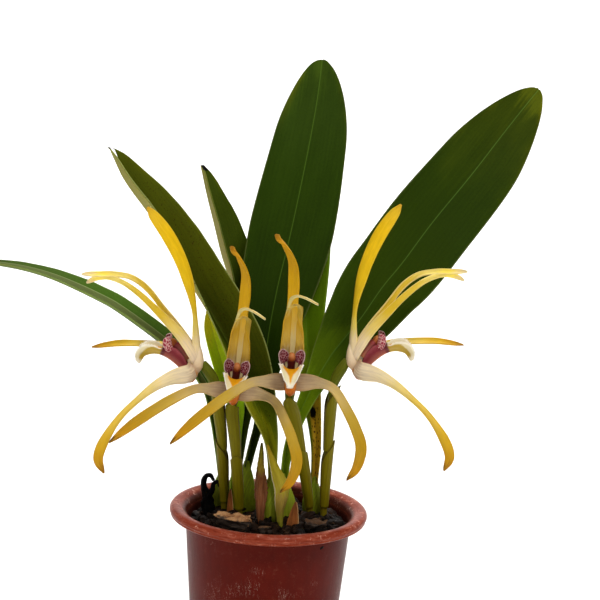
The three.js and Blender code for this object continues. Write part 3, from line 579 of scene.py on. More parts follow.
# Petals and the flesh in the heart of a bloom let some light in
PETAL_GLOW = dict(Subsurface_Weight=0.1, Subsurface_Radius=(1.0, 0.7, 0.2), Subsurface_Scale=0.9 * MM)
FLESH_GLOW = dict(Subsurface_Radius=(1.0, 0.5, 0.3), Subsurface_Scale=0.6 * MM)


class Finish(Nodes):
    """A material made of nodes, with the shader's constant values set on its own sockets."""

    def __init__(self, name, **constants):
        self.material = bpy.data.materials.new(name)
        self.material.use_nodes = True
        super().__init__(self.material.node_tree)
        self.shader = self.material.node_tree.nodes["Principled BSDF"]
        for key, value in constants.items():
            self.shader.inputs[key.replace("_", " ")].default_value = value

    def attribute(self, name):
        """The three parts of a vector that the mesh carries."""
        return self.parts(self.add("ShaderNodeAttribute", attribute_name=name).outputs["Vector"])

    def lie(self):
        """Where a point lies on its piece: across and along in millimetres, then in shares of its size."""
        return *self.attribute("place"), *self.attribute("share")

    def position(self, scale=(1, 1, 1)):
        """Place on the object in millimetres."""
        source = self.add("ShaderNodeTexCoord").outputs["Object"]
        return self.out("ShaderNodeMapping", {"Vector": source, "Scale": [1000 * s for s in scale]})

    def cells(self, vector, feature="F1"):
        """How far a point lies from the nearest of many scattered spots, or from the edge between two."""
        inputs = {"Vector": vector, "Scale": 1.0}
        return self.field(self.add("ShaderNodeTexVoronoi", inputs, feature=feature))

    def ramp(self, value, stops):
        """Colours along a value. The stops are text such as "0 34480a, 0.5 263a02, 1 435a10"."""
        stops = [stop.split() for stop in stops.split(", ")]
        made = self.add("ShaderNodeValToRGB", {0: value})
        ramp = made.color_ramp
        ramp.interpolation = "EASE"
        while len(ramp.elements) < len(stops):
            ramp.elements.new(0.5)
        for element, (at, colour) in zip(ramp.elements, stops):
            element.position = float(at)
            element.color = srgb(colour)
        return made.outputs[0]

    def blend(self, share, a, b, mode="MIX"):
        a, b = (srgb(colour) if isinstance(colour, str) else colour for colour in (a, b))
        made = self.add("ShaderNodeMix", {0: share, 6: a, 7: b}, data_type="RGBA", blend_type=mode)
        return made.outputs[2]

    def done(self, colour, roughness=None, height=None, strength=0.3, distance=0.2):
        self.feed(self.shader.inputs["Base Color"], colour)
        if roughness is not None:
            self.feed(self.shader.inputs["Roughness"], roughness)
        if height is not None:
            inputs = {"Height": height, "Strength": strength, "Distance": distance * MM}
            bump = self.add("ShaderNodeBump", inputs)
            self.feed(self.shader.inputs["Normal"], bump.outputs[0])
        return self.material


def leaf_finish(name, stops, rib="4d6a1e", rib_strength=0.5, margin=0.12, speckle=0.0, petiole=None,
                burnt=2.0, strip=None, scar=None, painted_light_level=0.64, slant=0.0):
    """Leaf: colours from foot to tip, long veins and a pale rib. It may have brown speckles, a two-coloured
    spotted petiole, a burnt tip, a grey strip beside its rib and a black scar. With a slant, the colours of
    the foot climb higher on its left half. Its brightness factor paints in how much light falls on the
    leaf: painted light and shade."""
    f = Finish(name, Specular_IOR_Level=0.04)
    across, along, hand, reach, part, _ = f.lie()
    broad = f.noise(f.combine(across * 0.06, along * 0.02, hand), 1.0, 4.0)
    streak = f.noise(f.combine(across * 0.8, along * 0.025, hand), 1.0, 3.0, 0.7)
    grain = f.noise(f.combine(across * 1.1, along * 0.9, hand), 1.0, 4.0, 0.75)
    veins = f.math("SINE", reach * 60 + f.noise(f.combine(across * 0.2, along * 0.01), 1.0) * 2)
    colour = f.ramp(part + (broad - 0.5) * 0.3 + (streak - 0.5) * 0.12 + across * slant, stops)
    # Random tone, times a brightness factor that paints in how much light falls on the leaf: painted light
    # and shade
    light = (0.2 + broad * 0.5 + streak * 0.36 + grain * 0.74 + veins * 0.03) * painted_light_level
    colour = f.blend(1.0, colour, light, "MULTIPLY")
    if petiole:
        left, right = petiole
        low = 1 - f.step(part + (broad - 0.5) * 0.1, 0.2, 0.36)
        sides = f.blend(f.step(across + (streak - 0.5) * 3, -3.4, -1.8), left, right)
        colour = f.blend(low, colour, sides)
        cells = f.cells(f.combine(across * 0.8, along * 0.42))
        dots = (1 - f.step(cells, 0.2, 0.34)) * (1 - f.step(part, 0.2, 0.4))
        colour = f.blend(dots * 0.9, colour, "171004")
    if strip:
        inner = (1 - f.step(reach + (streak - 0.5) * 0.06, 0.36, 0.4)) * f.step(part, 0.12, 0.3)
        colour = f.blend(inner * 0.9, colour, strip)
        seam = f.step(reach, 0.36, 0.39) * (1 - f.step(reach, 0.41, 0.44)) * f.step(part, 0.12, 0.3)
        colour = f.blend(seam * 0.6, colour, "b4bd82")
    middle = 1 - f.step(f.math("ABSOLUTE", across), 0.08, 0.4)
    colour = f.blend(middle * rib_strength, colour, rib)
    yellowed = f.step(reach, 0.72, 1.0) * f.step(part, 0.78, 1.0) * f.step(broad, 0.4, 0.6)
    colour = f.blend(yellowed * 0.35, colour, "767208")
    colour = f.blend(f.step(reach, 0.97, 0.99) * margin, colour, "a5ac62")
    if speckle:
        cells = f.cells(f.combine(across * 1.1 + grain * 0.6, along * 0.8))
        patches = f.step(f.noise(f.combine(across * 0.3, along * 0.1), 1.0), 0.36, 0.62)
        dots = (1 - f.step(cells, 0.1, 0.36)) * patches
        colour = f.blend(dots * speckle, colour, "2c1c04")
        colour = f.blend(f.step(grain, 0.52, 0.7) * speckle * 0.4, colour, "4a3208")
    if scar:
        spot_across, spot_along, size = scar
        away_across, away_along = (across - spot_across) * 1.7, along - spot_along
        away = (away_across * away_across + away_along * away_along) ** 0.5 + (grain - 0.5) * size
        colour = f.blend(1 - f.step(away, size * 0.6, size), colour, "0c0a07")
    colour = f.blend(f.step(part + (grain - 0.5) * 0.02, burnt, burnt + 0.008), colour, "0d0c08")
    height = streak * 0.4 + veins * 0.08 + grain * 0.25 - middle * 1.6
    return f.done(colour, grain * 0.2 + 0.5, height, 0.25, 0.2)


def tepal_finish(name, stops, edge="b98a14", edge_strength=0.25, veins=0.1):
    """Tepal: cream foot, yellow middle and golden tip, with soft long veins and deeper margins."""
    f = Finish(name, Specular_IOR_Level=0.1, **PETAL_GLOW)
    across, along, hand, reach, part, _ = f.lie()
    streak = f.noise(f.combine(across * 1.2, along * 0.07, hand), 1.0, 3.0, 0.65)
    cloud = f.noise(f.combine(across * 0.35, along * 0.16, hand), 1.0, 3.0)
    colour = f.ramp(part + (streak - 0.5) * 0.14 + (cloud - 0.5) * 0.14, stops)
    light = 0.7 + cloud * 0.3 + streak * 0.32
    colour = f.blend(1.0, colour, light, "MULTIPLY")
    lines = f.clamp(f.math("SINE", reach * 15 + cloud * 6) * 0.5 + 0.5) ** 4
    colour = f.blend(lines * veins * (1 - f.step(part, 0.3, 0.6)), colour, "8f6a55")
    colour = f.blend(f.step(reach + (streak - 0.5) * 0.3, 0.72, 1.0) * edge_strength, colour, edge)
    return f.done(colour, streak * 0.2 + 0.45, streak * 0.7 + lines * 0.3, 0.35, 0.22)


def lip_finish(name, middle, spread):
    """Lip: rose-maroon claw, pink at its upper edge, then a cream tongue with a deeper middle."""
    f = Finish(name, Specular_IOR_Level=0.14, Subsurface_Weight=0.06, **FLESH_GLOW)
    across, along, _, reach, part, _ = f.lie()
    mottle = f.noise(f.combine(across * 0.7, along * 0.4), 1.0, 3.0)
    streak = f.noise(f.combine(across * 2.6, along * 0.2), 1.0, 2.0)
    claw = f.ramp(reach + (mottle - 0.5) * 0.3, "0 a8603a, 0.25 8c3c30, 0.7 74242c, 1 8c4044")
    claw = f.blend(f.clamp((streak - 0.5) * 3) * 0.35, claw, "5e1620")
    wedge = f.step(reach + f.step(part, 0.54, 0.88) * 0.6 + (mottle - 0.5) * 0.2, spread, spread + 0.18)
    tongue = f.blend(wedge, middle, "dccfa8")
    tongue = f.blend(f.step(reach, 0.86, 1.0) * 0.7, tongue, "efe8d6")
    tongue = f.blend(f.step(part, 0.9, 0.98), tongue, "e6dcc4")
    band = f.step(part, 0.44, 0.48) * (1 - f.step(part, 0.5, 0.54))
    colour = f.blend(f.step(part + (mottle - 0.5) * 0.04, 0.5, 0.54), claw, tongue)
    colour = f.blend(band * 0.8, colour, "4f0f16")
    bumps = f.noise(f.combine(across * 2.5, along * 2.5), 1.0, 2.0)
    return f.done(colour, mottle * 0.2 + 0.4, bumps, 0.5, 0.35)


def lobe_finish(name, dark, rose, net, strength):
    """Side lobes of the lip: maroon netted with pinkish-white veins, and a pale margin."""
    f = Finish(name, Specular_IOR_Level=0.12)
    across, along, _, reach, part, _ = f.lie()
    warp = f.noise(f.combine(across * 0.9, along * 0.9), 1.0, 2.0)
    cells = f.cells(f.combine(across * 1.0 + warp, along * 0.8 + warp), "DISTANCE_TO_EDGE")
    flesh = f.blend(warp, dark, rose)
    colour = f.blend((1 - f.step(cells, 0.02, 0.09)) * strength, flesh, net)
    pale = f.step(f.math("MAXIMUM", reach, part) + (warp - 0.5) * 0.1, 0.93, 1.0)
    colour = f.blend(pale * 0.4, colour, "e6cfc6")
    return f.done(colour, warp * 0.2 + 0.4, cells, 0.6, 0.3)


def column_finish(name, stops):
    """The small fleshy pieces in the heart of a bloom: colours from foot to tip."""
    f = Finish(name, Specular_IOR_Level=0.2, Subsurface_Weight=0.08, **FLESH_GLOW)
    _, part, _ = f.attribute("share")
    spot = f.noise(f.position(), 0.9, 3.0)
    return f.done(f.ramp(part + (spot - 0.5) * 0.3, stops), spot * 0.25 + 0.3, spot, 0.3, 0.3)


def stalk_finish(name, upper, lower, stain, streaks=0.35, light="a39a2c", gloss=0.08, mouth=0.0):
    """Scapes, bracts and bulbs: one colour below, another above, brownish long stains and fine ribs."""
    f = Finish(name, Specular_IOR_Level=gloss)
    around, along, _, reach, part, _ = f.lie()
    streak = f.noise(f.combine(around * 1.5, along * 0.06), 1.0, 4.0, 0.65)
    cloud = f.noise(f.position(), 0.14, 3.0)
    fine = f.noise(f.position(), 1.4, 3.0, 0.7)
    colour = f.blend(f.step(part + (cloud - 0.5) * 0.5, 0.3, 0.7), lower, upper)
    colour = f.blend(f.clamp((streak - 0.5) * 3) * streaks, colour, stain)
    colour = f.blend(f.clamp((0.5 - streak) * 3) * streaks * 0.6, colour, light)
    colour = f.blend(f.step(fine, 0.6, 0.74) * 0.25, colour, stain)
    ribs = f.math("SINE", around * 4)
    colour = f.blend(f.clamp(ribs) * 0.14, colour, stain)
    colour = f.blend(f.step(reach, 0.8, 0.95) * mouth, colour, "3a2806")
    return f.done(colour, streak * 0.25 + 0.42, streak + ribs * 0.3, 0.45, 0.3)


def husk_finish(name, stops, stain, edge, shine=0.1, contrast=0.7):
    """Dry or fresh sheaths: papery, fibrous and paler at their torn edges."""
    f = Finish(name, Specular_IOR_Level=shine)
    across, along, _, reach, part, hand = f.lie()
    fibre = f.noise(f.combine(across * 1.0, along * 0.07), 1.0, 5.0, 0.75)
    cloud = f.noise(f.combine(across * 0.3, along * 0.12), 1.0, 3.0)
    colour = f.ramp(part + (cloud - 0.5) * 0.35 + (fibre - 0.5) * 0.2, stops)
    colour = f.blend(f.clamp((fibre - 0.46) * 4) * contrast, colour, stain)
    colour = f.blend(f.clamp((0.44 - fibre) * 4) * contrast * 0.5, colour, edge)
    torn = f.step(reach + (fibre - 0.5) * 0.4, 0.8, 0.98) * f.step(hand, -0.2, 0.4) * f.step(part, 0.2, 0.4)
    colour = f.blend(torn * 0.8, colour, edge)
    return f.done(colour, fibre * 0.3 + 0.5, fibre + cloud * 0.5, 0.8, 0.6)


def pot_finish():
    """Reddish-brown moulded plastic with faint vertical wear, scratches, dried splashes and soil dust. Its
    rim is painted lighter, with painted highlights and glints, and its inside carries painted shade.
    """
    f = Finish("pot_plastic", Specular_IOR_Level=0.05)
    where = f.position()
    x, y, height = f.parts(where)
    cloud = f.noise(where, 0.05, 4.0)
    fine = f.noise(where, 1.3, 4.0, 0.7)
    drag = f.noise(f.position((0.5, 0.5, 0.02)), 1.0, 4.0, 0.6)
    colour = f.blend(f.clamp((cloud - 0.3) * 1.6), "4a0f06", "5c1509")
    colour = f.blend(f.clamp((drag - 0.5) * 3) * 0.45, colour, "3f130c")
    # Painted highlights: the rim is painted lighter than the body, in streaks that run round it
    rim = f.step(height, 80.5, 83)
    around = f.noise(f.combine(f.math("ARCTAN2", x, y * -1) * 7, height * 0.9), 1.0, 4.0, 0.75)
    colour = f.blend(rim * 0.85, colour, f.ramp(around, "0.3 62200f, 0.5 833521, 0.7 a65d47"))
    radius = (x * x + y * y) ** 0.5
    wall = radius - height * ((NECK_RADIUS - BASE_RADIUS) / (POT_HEIGHT - RIM_DEPTH)) - BASE_RADIUS
    # Painted shade: the inside of the wall and the inner edge of the rim are painted dark
    inner = 1 - f.step(wall, -1.0, -0.5) + f.step(height, 82.8, 83.6) * (1 - f.step(radius, 42.4, 44.4))
    colour = f.blend(f.clamp(inner) * 0.8, colour, "2c0f08")
    colour = f.blend(f.clamp((fine - 0.58) * 5) * 0.25, colour, "8f4c38")
    scratch = f.noise(f.position((0.9, 0.9, 0.12)), 1.0, 2.0)
    scratch = 1 - f.step(f.math("ABSOLUTE", scratch - 0.5), 0.0, 0.006)
    scratched = f.step(f.noise(where, 0.07, 2.0), 0.56, 0.64) * scratch
    colour = f.blend(scratched * 0.6, colour, "c9a595")
    splash = f.cells(f.position((0.16, 0.16, 0.12)))
    dots = (1 - f.step(splash, 0.02, 0.06)) * f.step(f.noise(where, 0.09, 2.0), 0.5, 0.6)
    colour = f.blend(dots * 0.6, colour, "c9a798")
    dust = f.step(f.noise(where, 0.3, 4.0, 0.7), 0.56, 0.72)
    colour = f.blend(dust * 0.08, colour, "8f6450")
    glint = f.step(f.noise(where, 0.35, 4.0, 0.75), 0.58, 0.7) * rim
    colour = f.blend(glint * 0.55, colour, "dba48e")
    return f.done(colour, fine * 0.2 + drag * 0.2 + 0.2 - rim * 0.08, fine * 0.5 + drag * 0.5, 0.3, 0.4)


def bark_finish(name, dark, light, pale="7a5f44", wet=0.3):
    """Bark: dark, flaky and mottled, with a few pale fibres."""
    f = Finish(name, Specular_IOR_Level=wet)
    where = f.position()
    cloud = f.noise(where, 0.14, 4.0, 0.6)
    flake = f.noise(f.position((0.5, 0.9, 1.4)), 1.0, 5.0, 0.7)
    colour = f.blend(f.clamp((cloud - 0.42) * 3), dark, light)
    colour = f.blend(f.clamp((flake - 0.5) * 3) * 0.6, colour, dark)
    fibres = f.step(f.noise(f.position((0.35, 0.8, 0.8)), 1.0, 4.0, 0.7), 0.6, 0.7)
    colour = f.blend(fibres * 0.5, colour, pale)
    return f.done(colour, flake * 0.5 + 0.25, flake + cloud, 0.9, 0.9)


def chip_finish(name, tan, strength=1.0):
    """Bark chip: fibrous face above, dark layered rind at its sides."""
    f = Finish(name, Specular_IOR_Level=0.12)
    where = f.position()
    grain = f.noise(f.position((0.14, 0.6, 0.6)), 1.0, 5.0, 0.75)
    cloud = f.noise(where, 0.22, 3.0)
    face, depth, _ = f.attribute("rind")
    wood = f.ramp(grain * 0.7 + cloud * 0.3, tan)
    rind = f.blend(f.clamp(f.math("SINE", depth * 9 + cloud * 4) * 0.5 + 0.5), "120d0a", "41342a")
    shown = f.step(face + (cloud - 0.5) * 0.7 + (grain - 0.5) * 0.4, 0.45, 0.7) * strength
    colour = f.blend(shown, rind, wood)
    return f.done(colour, grain * 0.3 + 0.55, grain + cloud, 0.9, 0.8)


# Finishes of the leaves

# Painted shade: leaf_dark is darkest just above its foot and grows lighter towards its tip
leaf_dark = leaf_finish(
    "leaf_dark", "0 34480a, 0.18 1c2e02, 0.4 263a02, 0.7 2c4203, 0.9 32470a, 1 435a10")
leaf_dark_right = leaf_finish(
    "leaf_dark_right", "0 7a9410, 0.14 749010, 0.24 566e08, 0.36 354a03, 0.7 2c3f03, 0.93 3c4a05, 1 5a640a",
    rib="52702a")
leaf_olive = leaf_finish(
    "leaf_olive", "0 b0a820, 0.14 a8aa1a, 0.23 5c6c0a, 0.34 303c02, 0.5 404704, 0.75 545a06, 1 5c640c",
    rib_strength=0.2, margin=0.4, speckle=0.9, burnt=0.985, slant=0.013)
leaf_mid = leaf_finish(
    "leaf_mid", "0 3a4c08, 0.4 424e04, 0.7 455404, 1 4a5a0c", speckle=0.3, burnt=0.975)
leaf_low = leaf_finish(
    "leaf_low", "0 4a6414, 0.3 456222, 0.6 4b6a24, 0.85 4a6028, 1 2c3218", margin=0.3, strip="76804e",
    burnt=0.985, painted_light_level=1.15)
leaf_spotted = leaf_finish(
    "leaf_spotted", "0 7a7c12, 0.3 5c6c0a, 0.55 54700a, 0.8 54700c, 1 607814", petiole=("505a08", "c8a028"),
    scar=(-1.2, 37, 4.2), speckle=0.3, painted_light_level=1.08)
# Painted light: a high brightness factor lights up this leaf, which lies in shade
leaf_lime = leaf_finish(
    "leaf_lime", "0 5a5f10, 0.35 5c780c, 0.6 80a414, 0.8 98b41c, 1 b4b022", rib="a8b83a", speckle=0.25,
    painted_light_level=1.75)
leaf_back_olive = leaf_finish(
    "leaf_back_olive", "0 5c6418, 0.4 908630, 1 7c7834", rib="a8a458", speckle=0.5, painted_light_level=1.1)
leaf_back_green = leaf_finish(
    "leaf_back_green", "0 4c6018, 0.4 566c2c, 1 62743c", rib="8a9a5a", painted_light_level=0.9)

# Finishes of the blooms

sepal_cloth = tepal_finish(
    "sepal", "0 c4a88c, 0.1 e2d0ae, 0.25 e6d3a4, 0.36 e0c878, 0.48 d8b850, 0.62 d2ae40, "
    "0.8 c49a1c, 0.92 b58410, 0.97 9a6a10, 1 4c3208")
# Painted shade: a darker copy of the sepal colours, for the side sepals of the two blooms in the middle
shaded_spread_cloth = tepal_finish(
    "sepal_spread", "0 94795c, 0.1 a48c6a, 0.22 b09a70, 0.38 b69a56, 0.55 ac8c2c, 0.75 a67f12, "
    "0.92 b07c0a, 1 503208", edge="a87c18")
tall_cloth = tepal_finish(
    "sepal_tall", "0 dcc6a8, 0.12 d8c294, 0.22 cab454, 0.32 c8a518, 0.55 d2aa10, 0.8 dab00c, "
    "0.94 d8b020, 1 c49420", edge="d8b848")
# Painted shade: a darker copy of the tall sepal's colours, for the nodding sepal of the two blooms in the
# middle
shaded_nodding_cloth = tepal_finish(
    "sepal_nodding", "0 c8bc98, 0.2 c6b27a, 0.36 c4a040, 0.48 cc9e1a, 0.62 c89a08, 0.78 b68808, "
    "0.94 b07c0a, 1 8c5c10", veins=0.0)
petal_cloth = tepal_finish(
    "petal", "0 d8c2a6, 0.12 dcc59c, 0.24 d2b862, 0.4 c8a626, 0.6 ccac34, 0.74 dcc464, "
    "0.88 e6cc4a, 0.95 dcc27c, 1 b8a480", edge="e4d090", edge_strength=0.5)
crossed_cloth = tepal_finish(
    "petal_crossed", "0 e4d8b4, 0.14 dcc88c, 0.3 c8a544, 0.5 b89020, 0.66 c0b068, 1 cac08a",
    edge="b08414", edge_strength=0.6)
# Painted shade: a copy of the crossed petal with a darker strap, for the second crossed petal
shaded_crossed_cloth = tepal_finish(
    "petal_inner", "0 e4d8b4, 0.14 dcc88c, 0.3 c8a544, 0.6 b08a1a, 0.76 9a7e24, 1 a8964c",
    edge="b08414", edge_strength=0.6)
lip_inside = lip_finish("lip", "d89208", 0.64)
lip_outside = lip_finish("lip_outside", "b49630", 1.0)
lobe_inside = lobe_finish("lip_lobe", "500a16", "741426", "dca8a8", 0.55)
lobe_outside = lobe_finish("lip_lobe_outside", "7c2030", "a03c48", "ecc8be", 0.75)
fringe_white = column_finish("fringe", "0 efe6d6, 1 f4eee2")
cap_brown = column_finish("anther_cap", "0 7a2c12, 0.4 a4562a, 1 c07a44")
column_pink = column_finish("column", "0 a86a48, 0.5 a05a50, 1 8a3434")
heart_cream = column_finish("heart", "0 c8a884, 0.5 d8c09c, 1 dcc6a4")
chin_orange = column_finish("chin", "0 c0a080, 0.4 c07c38, 0.75 b85c08, 1 94480a")

# Finishes of the stalks, bulbs and sheaths

scape_green = stalk_finish("scape", "4e540a", "6a5c0a", "4a3c0a")
bract_green = stalk_finish("bract", "6a6408", "6e6404", "523a06", 0.5, light="847612", mouth=0.75)
bulb_green = stalk_finish("pseudobulb", "7c8c1c", "727a16", "5a4a14", 0.6, light="a4ac34")
husk_brown = husk_finish(
    "dry_sheath", "0 6a3e20, 0.35 8a5432, 0.62 6c401e, 0.76 84701a, 0.9 6c6410, 1 120c06",
    "35170a", "d8bc94", contrast=0.85)
husk_orange = husk_finish("dry_sheath_orange", "0 6e4220, 0.5 9c5c2c, 1 7a4a24", "452410", "c89c68")
husk_fresh = husk_finish(
    "fresh_sheath", "0 70761a, 0.18 8c8424, 0.3 907830, 0.4 a08638, 0.48 a4942c, 0.8 9c8c1c, 1 a07c12",
    "685a0c", "e6dcb4", 0.1, 0.4)
creeper_husk = husk_finish("creeper_husk", "0 3c2414, 1 4c2e18", "1c100a", "6b4a30")
charred = bark_finish("remnant", "030303", "0c0a09", "161210", 0.03)

# Finishes of the pot and its mix

pot_plastic = pot_finish()
soil_dark = bark_finish("bark", "0a0604", "20130b", "4a3420", 0.04)
lump_dark = bark_finish("bark_lump", "0c0806", "2e1c10", "6b4c30", 0.06)
chip_tan = chip_finish("bark_chip", "0.3 3c2414, 0.43 7c5030, 0.52 a87c52, 0.62 b98f64, 0.75 5c3a20")
chip_dark = chip_finish("bark_chip_dark", "0.3 2a1a10, 0.5 5c3f28, 0.7 7a583a", 0.7)

BLADE = make_blade_tree()
STEM = make_stem_tree()
FRINGE = make_fringe_tree()
SCATTER = make_scatter_tree()


# Pot


def rounded_outline(points, radius=0.5, steps=4):
    """A line of points with its inner corners rounded."""
    points = [Vector(p) for p in points]
    smooth = [points[0]]
    for before, corner, after in zip(points, points[1:], points[2:]):
        reach = min(radius, (corner - before).length * 0.45, (after - corner).length * 0.45)
        start = corner + (before - corner).normalized() * reach
        end = corner + (after - corner).normalized() * reach
        for i in range(steps + 1):
            t = i / steps
            smooth.append(start * (1 - t) ** 2 + corner * 2 * t * (1 - t) + end * t * t)
    return smooth + [points[-1]]


def lathe(name, outline, segments=144):
    """A closed round body from a line of (radius, height) points that starts and ends on the axis."""
    body = bmesh.new()
    points = [body.verts.new((r * MM, 0, z * MM)) for r, z in outline]
    edges = [body.edges.new(pair) for pair in zip(points, points[1:])]
    turn = {"cent": (0, 0, 0), "axis": (0, 0, 1), "angle": math.tau, "steps": segments}
    bmesh.ops.spin(body, geom=points + edges, use_merge=True, **turn)
    bmesh.ops.remove_doubles(body, verts=body.verts, dist=1e-6)
    bmesh.ops.recalc_face_normals(body, faces=body.faces)
    mesh = bpy.data.meshes.new(name)
    body.to_mesh(mesh)
    body.free()
    for face in mesh.polygons:
        face.use_smooth = True
    return link(name, mesh)


def cut(obj, cutter):
    """Cuts one closed mesh out of another."""
    knife = obj.modifiers.new("cut", "BOOLEAN")
    knife.operation = "DIFFERENCE"
    knife.solver = "EXACT"
    knife.object = cutter
    plain(obj)
    bpy.data.objects.remove(cutter)
    return obj


def taper(z):
    """Inner radius of the pot at a height."""
    return BASE_RADIUS + (NECK_RADIUS - BASE_RADIUS) / (POT_HEIGHT - RIM_DEPTH) * z - WALL


def make_pot():
    """A thin wall with a rolled rim and drain holes in its floor."""
    under = POT_HEIGHT - RIM_DEPTH
    inside = taper(under) + 0.3
    outline = [
        (0, 0), (BASE_RADIUS - 4, 0), (BASE_RADIUS - 0.3, 0), (BASE_RADIUS + 0.1, 1.8),
        (NECK_RADIUS - 0.1, under - 0.6), (NECK_RADIUS + 0.6, under), (RIM_RADIUS - 1.2, under + 0.1),
        (RIM_RADIUS - 0.5, under + 0.8), (RIM_RADIUS - 0.7, under + 1.5), (RIM_RADIUS, under + 2.3),
        (RIM_RADIUS - 0.1, POT_HEIGHT - 1.6), (RIM_RADIUS - 1.4, POT_HEIGHT - 0.2),
        (RIM_RADIUS - 3.2, POT_HEIGHT), (RIM_RADIUS - 5.2, POT_HEIGHT - 0.7),
        (inside + 0.9, POT_HEIGHT - 2.6), (inside, under - 0.5), (taper(FLOOR), FLOOR + 1),
        (taper(FLOOR) - 1.4, FLOOR), (0, FLOOR),
    ]
    pot = lathe("pot_shell", rounded_outline(outline, 1.1))
    holes = bmesh.new()
    for i in range(DRAIN_HOLES):
        angle = i / DRAIN_HOLES * math.tau
        spot = Vector((math.cos(angle), math.sin(angle), 0)) * DRAIN_CIRCLE * MM
        size = {"radius1": DRAIN_RADIUS * MM, "radius2": DRAIN_RADIUS * MM, "depth": FLOOR * 4 * MM}
        bmesh.ops.create_cone(holes, cap_ends=True, segments=28, matrix=Matrix.Translation(spot), **size)
    mesh = bpy.data.meshes.new("holes")
    holes.to_mesh(mesh)
    holes.free()
    cut(pot, link("holes", mesh))
    pot.data.materials.append(pot_plastic)
    return dress(pot, "pot_plastic", "pot")


# Bark mix, with coarse lumps and fine grains in its top

LUMPS = dict(Spacing=5.4 * MM, Smallest=4.0 * MM, Largest=11.0 * MM, Detail=3, Seed=4)
GRAINS = dict(Spacing=2.1 * MM, Smallest=0.9 * MM, Largest=3.4 * MM, Detail=1, Seed=9)


def soil_height(x, y):
    """Height of the mix at a place: a low mound with soft lumps."""
    mound = SOIL_CROWN * max(0, 1 - (x * x + y * y) / MOUND_SQUARE)
    lumps = 0.7 * math.sin(x * 0.31 + 1.3) * math.cos(y * 0.37) + 0.4 * math.sin(x * 0.83 - y * 0.71)
    return SOIL_EDGE + mound + lumps


def make_soil():
    """The filling of the pot, with lumps and grains strewn where it lies open."""
    bottom = FLOOR + SOIL_GAP
    rings = [(r, SOIL_EDGE) for r in np.linspace(taper(SOIL_EDGE) - SOIL_WALL_GAP, 0, SOIL_RINGS)]
    soil = lathe("bark_mix_body", [(0, bottom), (taper(bottom) - 1, bottom), *rings], SOIL_SEGMENTS)
    for vertex in soil.data.vertices:
        x, y, z = vertex.co / MM
        if z > SOIL_EDGE - 1:
            rough = noise.noise((x * 0.25, y * 0.25, 3)) * 1.2 + noise.noise((x * 0.9, y * 0.9, 8)) * 0.7
            vertex.co.z = (soil_height(x, y) - 0.5 + rough) * MM
    soil.data.materials.append(soil_dark)
    top = bpy.data.meshes.new("top")
    patch = bmesh.new()
    patch.from_mesh(soil.data)
    hidden = [face for face in patch.faces if face.calc_center_median().z < LUMPY_FROM * MM
              or face.calc_center_median().xy.length > LUMPY_RADIUS * MM]
    bmesh.ops.delete(patch, geom=hidden, context="FACES")
    patch.to_mesh(top)
    patch.free()
    lumps = grow("lumps", top.copy(), SCATTER, Material=lump_dark, **LUMPS)
    grains = grow("grains", top, SCATTER, Material=soil_dark, **GRAINS)
    return dress(join("bark_mix_fine", [soil, lumps, grains]), "bark", "bark_mix")


# Bark chips: centre, size, turn, tilt and finish
CHIPS = {
    "bark_chip_large": ((-17, -17.6, 84), (23, 10, 7), -0.34, 0.2, chip_tan),
    "bark_chip_small": ((-0.8, -23.6, 82.4), (9, 7, 4), 0.5, -0.2, chip_dark),
    "bark_chip_right": ((24, -12, 82.8), (14, 9, 5), 0.7, 0.2, chip_dark),
    "bark_chip_back": ((-3, 29, 82.4), (16, 9, 5), 0.3, -0.25, chip_dark),
}
CHIP_OUTLINE = [(-0.5, -0.1), (-0.3, -0.42), (0.2, -0.5), (0.5, -0.15), (0.36, 0.4), (-0.1, 0.5),
                (-0.42, 0.3)]


def make_chip(name, centre, size, turn, tilt, material):
    """A slab of bark with a broken edge, a fibrous face and a layered rind."""
    length, width, height = size
    slab = bmesh.new()
    corners = [slab.verts.new((x * length, y * width, -height / 2)) for x, y in CHIP_OUTLINE]
    bottom = slab.faces.new(corners)
    lifted = bmesh.ops.extrude_face_region(slab, geom=[bottom])["geom"]
    bmesh.ops.translate(slab, verts=[g for g in lifted if isinstance(g, bmesh.types.BMVert)],
                        vec=(0, 0, height))
    bmesh.ops.recalc_face_normals(slab, faces=slab.faces)
    bmesh.ops.bevel(slab, geom=slab.edges[:], offset=height * 0.2, segments=2, affect="EDGES", profile=0.6)
    bmesh.ops.triangulate(slab, faces=slab.faces)
    bmesh.ops.subdivide_edges(slab, edges=slab.edges[:], cuts=4, use_grid_fill=True)
    bmesh.ops.triangulate(slab, faces=slab.faces)
    mesh = bpy.data.meshes.new(name)
    slab.normal_update()
    rind = []
    for vertex in slab.verts:
        x, y, z = vertex.co
        seed = Vector((x * 0.35, y * 0.35, z * 0.5)) + Vector(centre)
        layered = noise.noise((x * 0.15, y * 0.3, z * 1.8 + centre[0]))
        face = vertex.normal.z * 0.6 + 0.2 + x / length * 0.5 + y / width * 0.5 + noise.noise(seed) * 0.5
        rind.append((face, z, 0))
        vertex.co += vertex.normal * (noise.noise(seed) * 1.5 + layered * 1.1 - 0.7)
    slab.to_mesh(mesh)
    slab.free()
    layer = mesh.attributes.new("rind", "FLOAT_VECTOR", "POINT")
    layer.data.foreach_set("vector", np.array(rind, np.float32).ravel())
    mesh.transform(Matrix.Rotation(tilt, 4, "X"))
    mesh.transform(Matrix.Translation(centre) @ Matrix.Rotation(turn, 4, "Z"))
    mesh.transform(Matrix.Scale(MM, 4))
    for face in mesh.polygons:
        face.use_smooth = True
    mesh.materials.append(material)
    return dress(link(name + "_fine", mesh), "bark_chip", name)


# Pseudobulbs: foot, top, half width, half depth

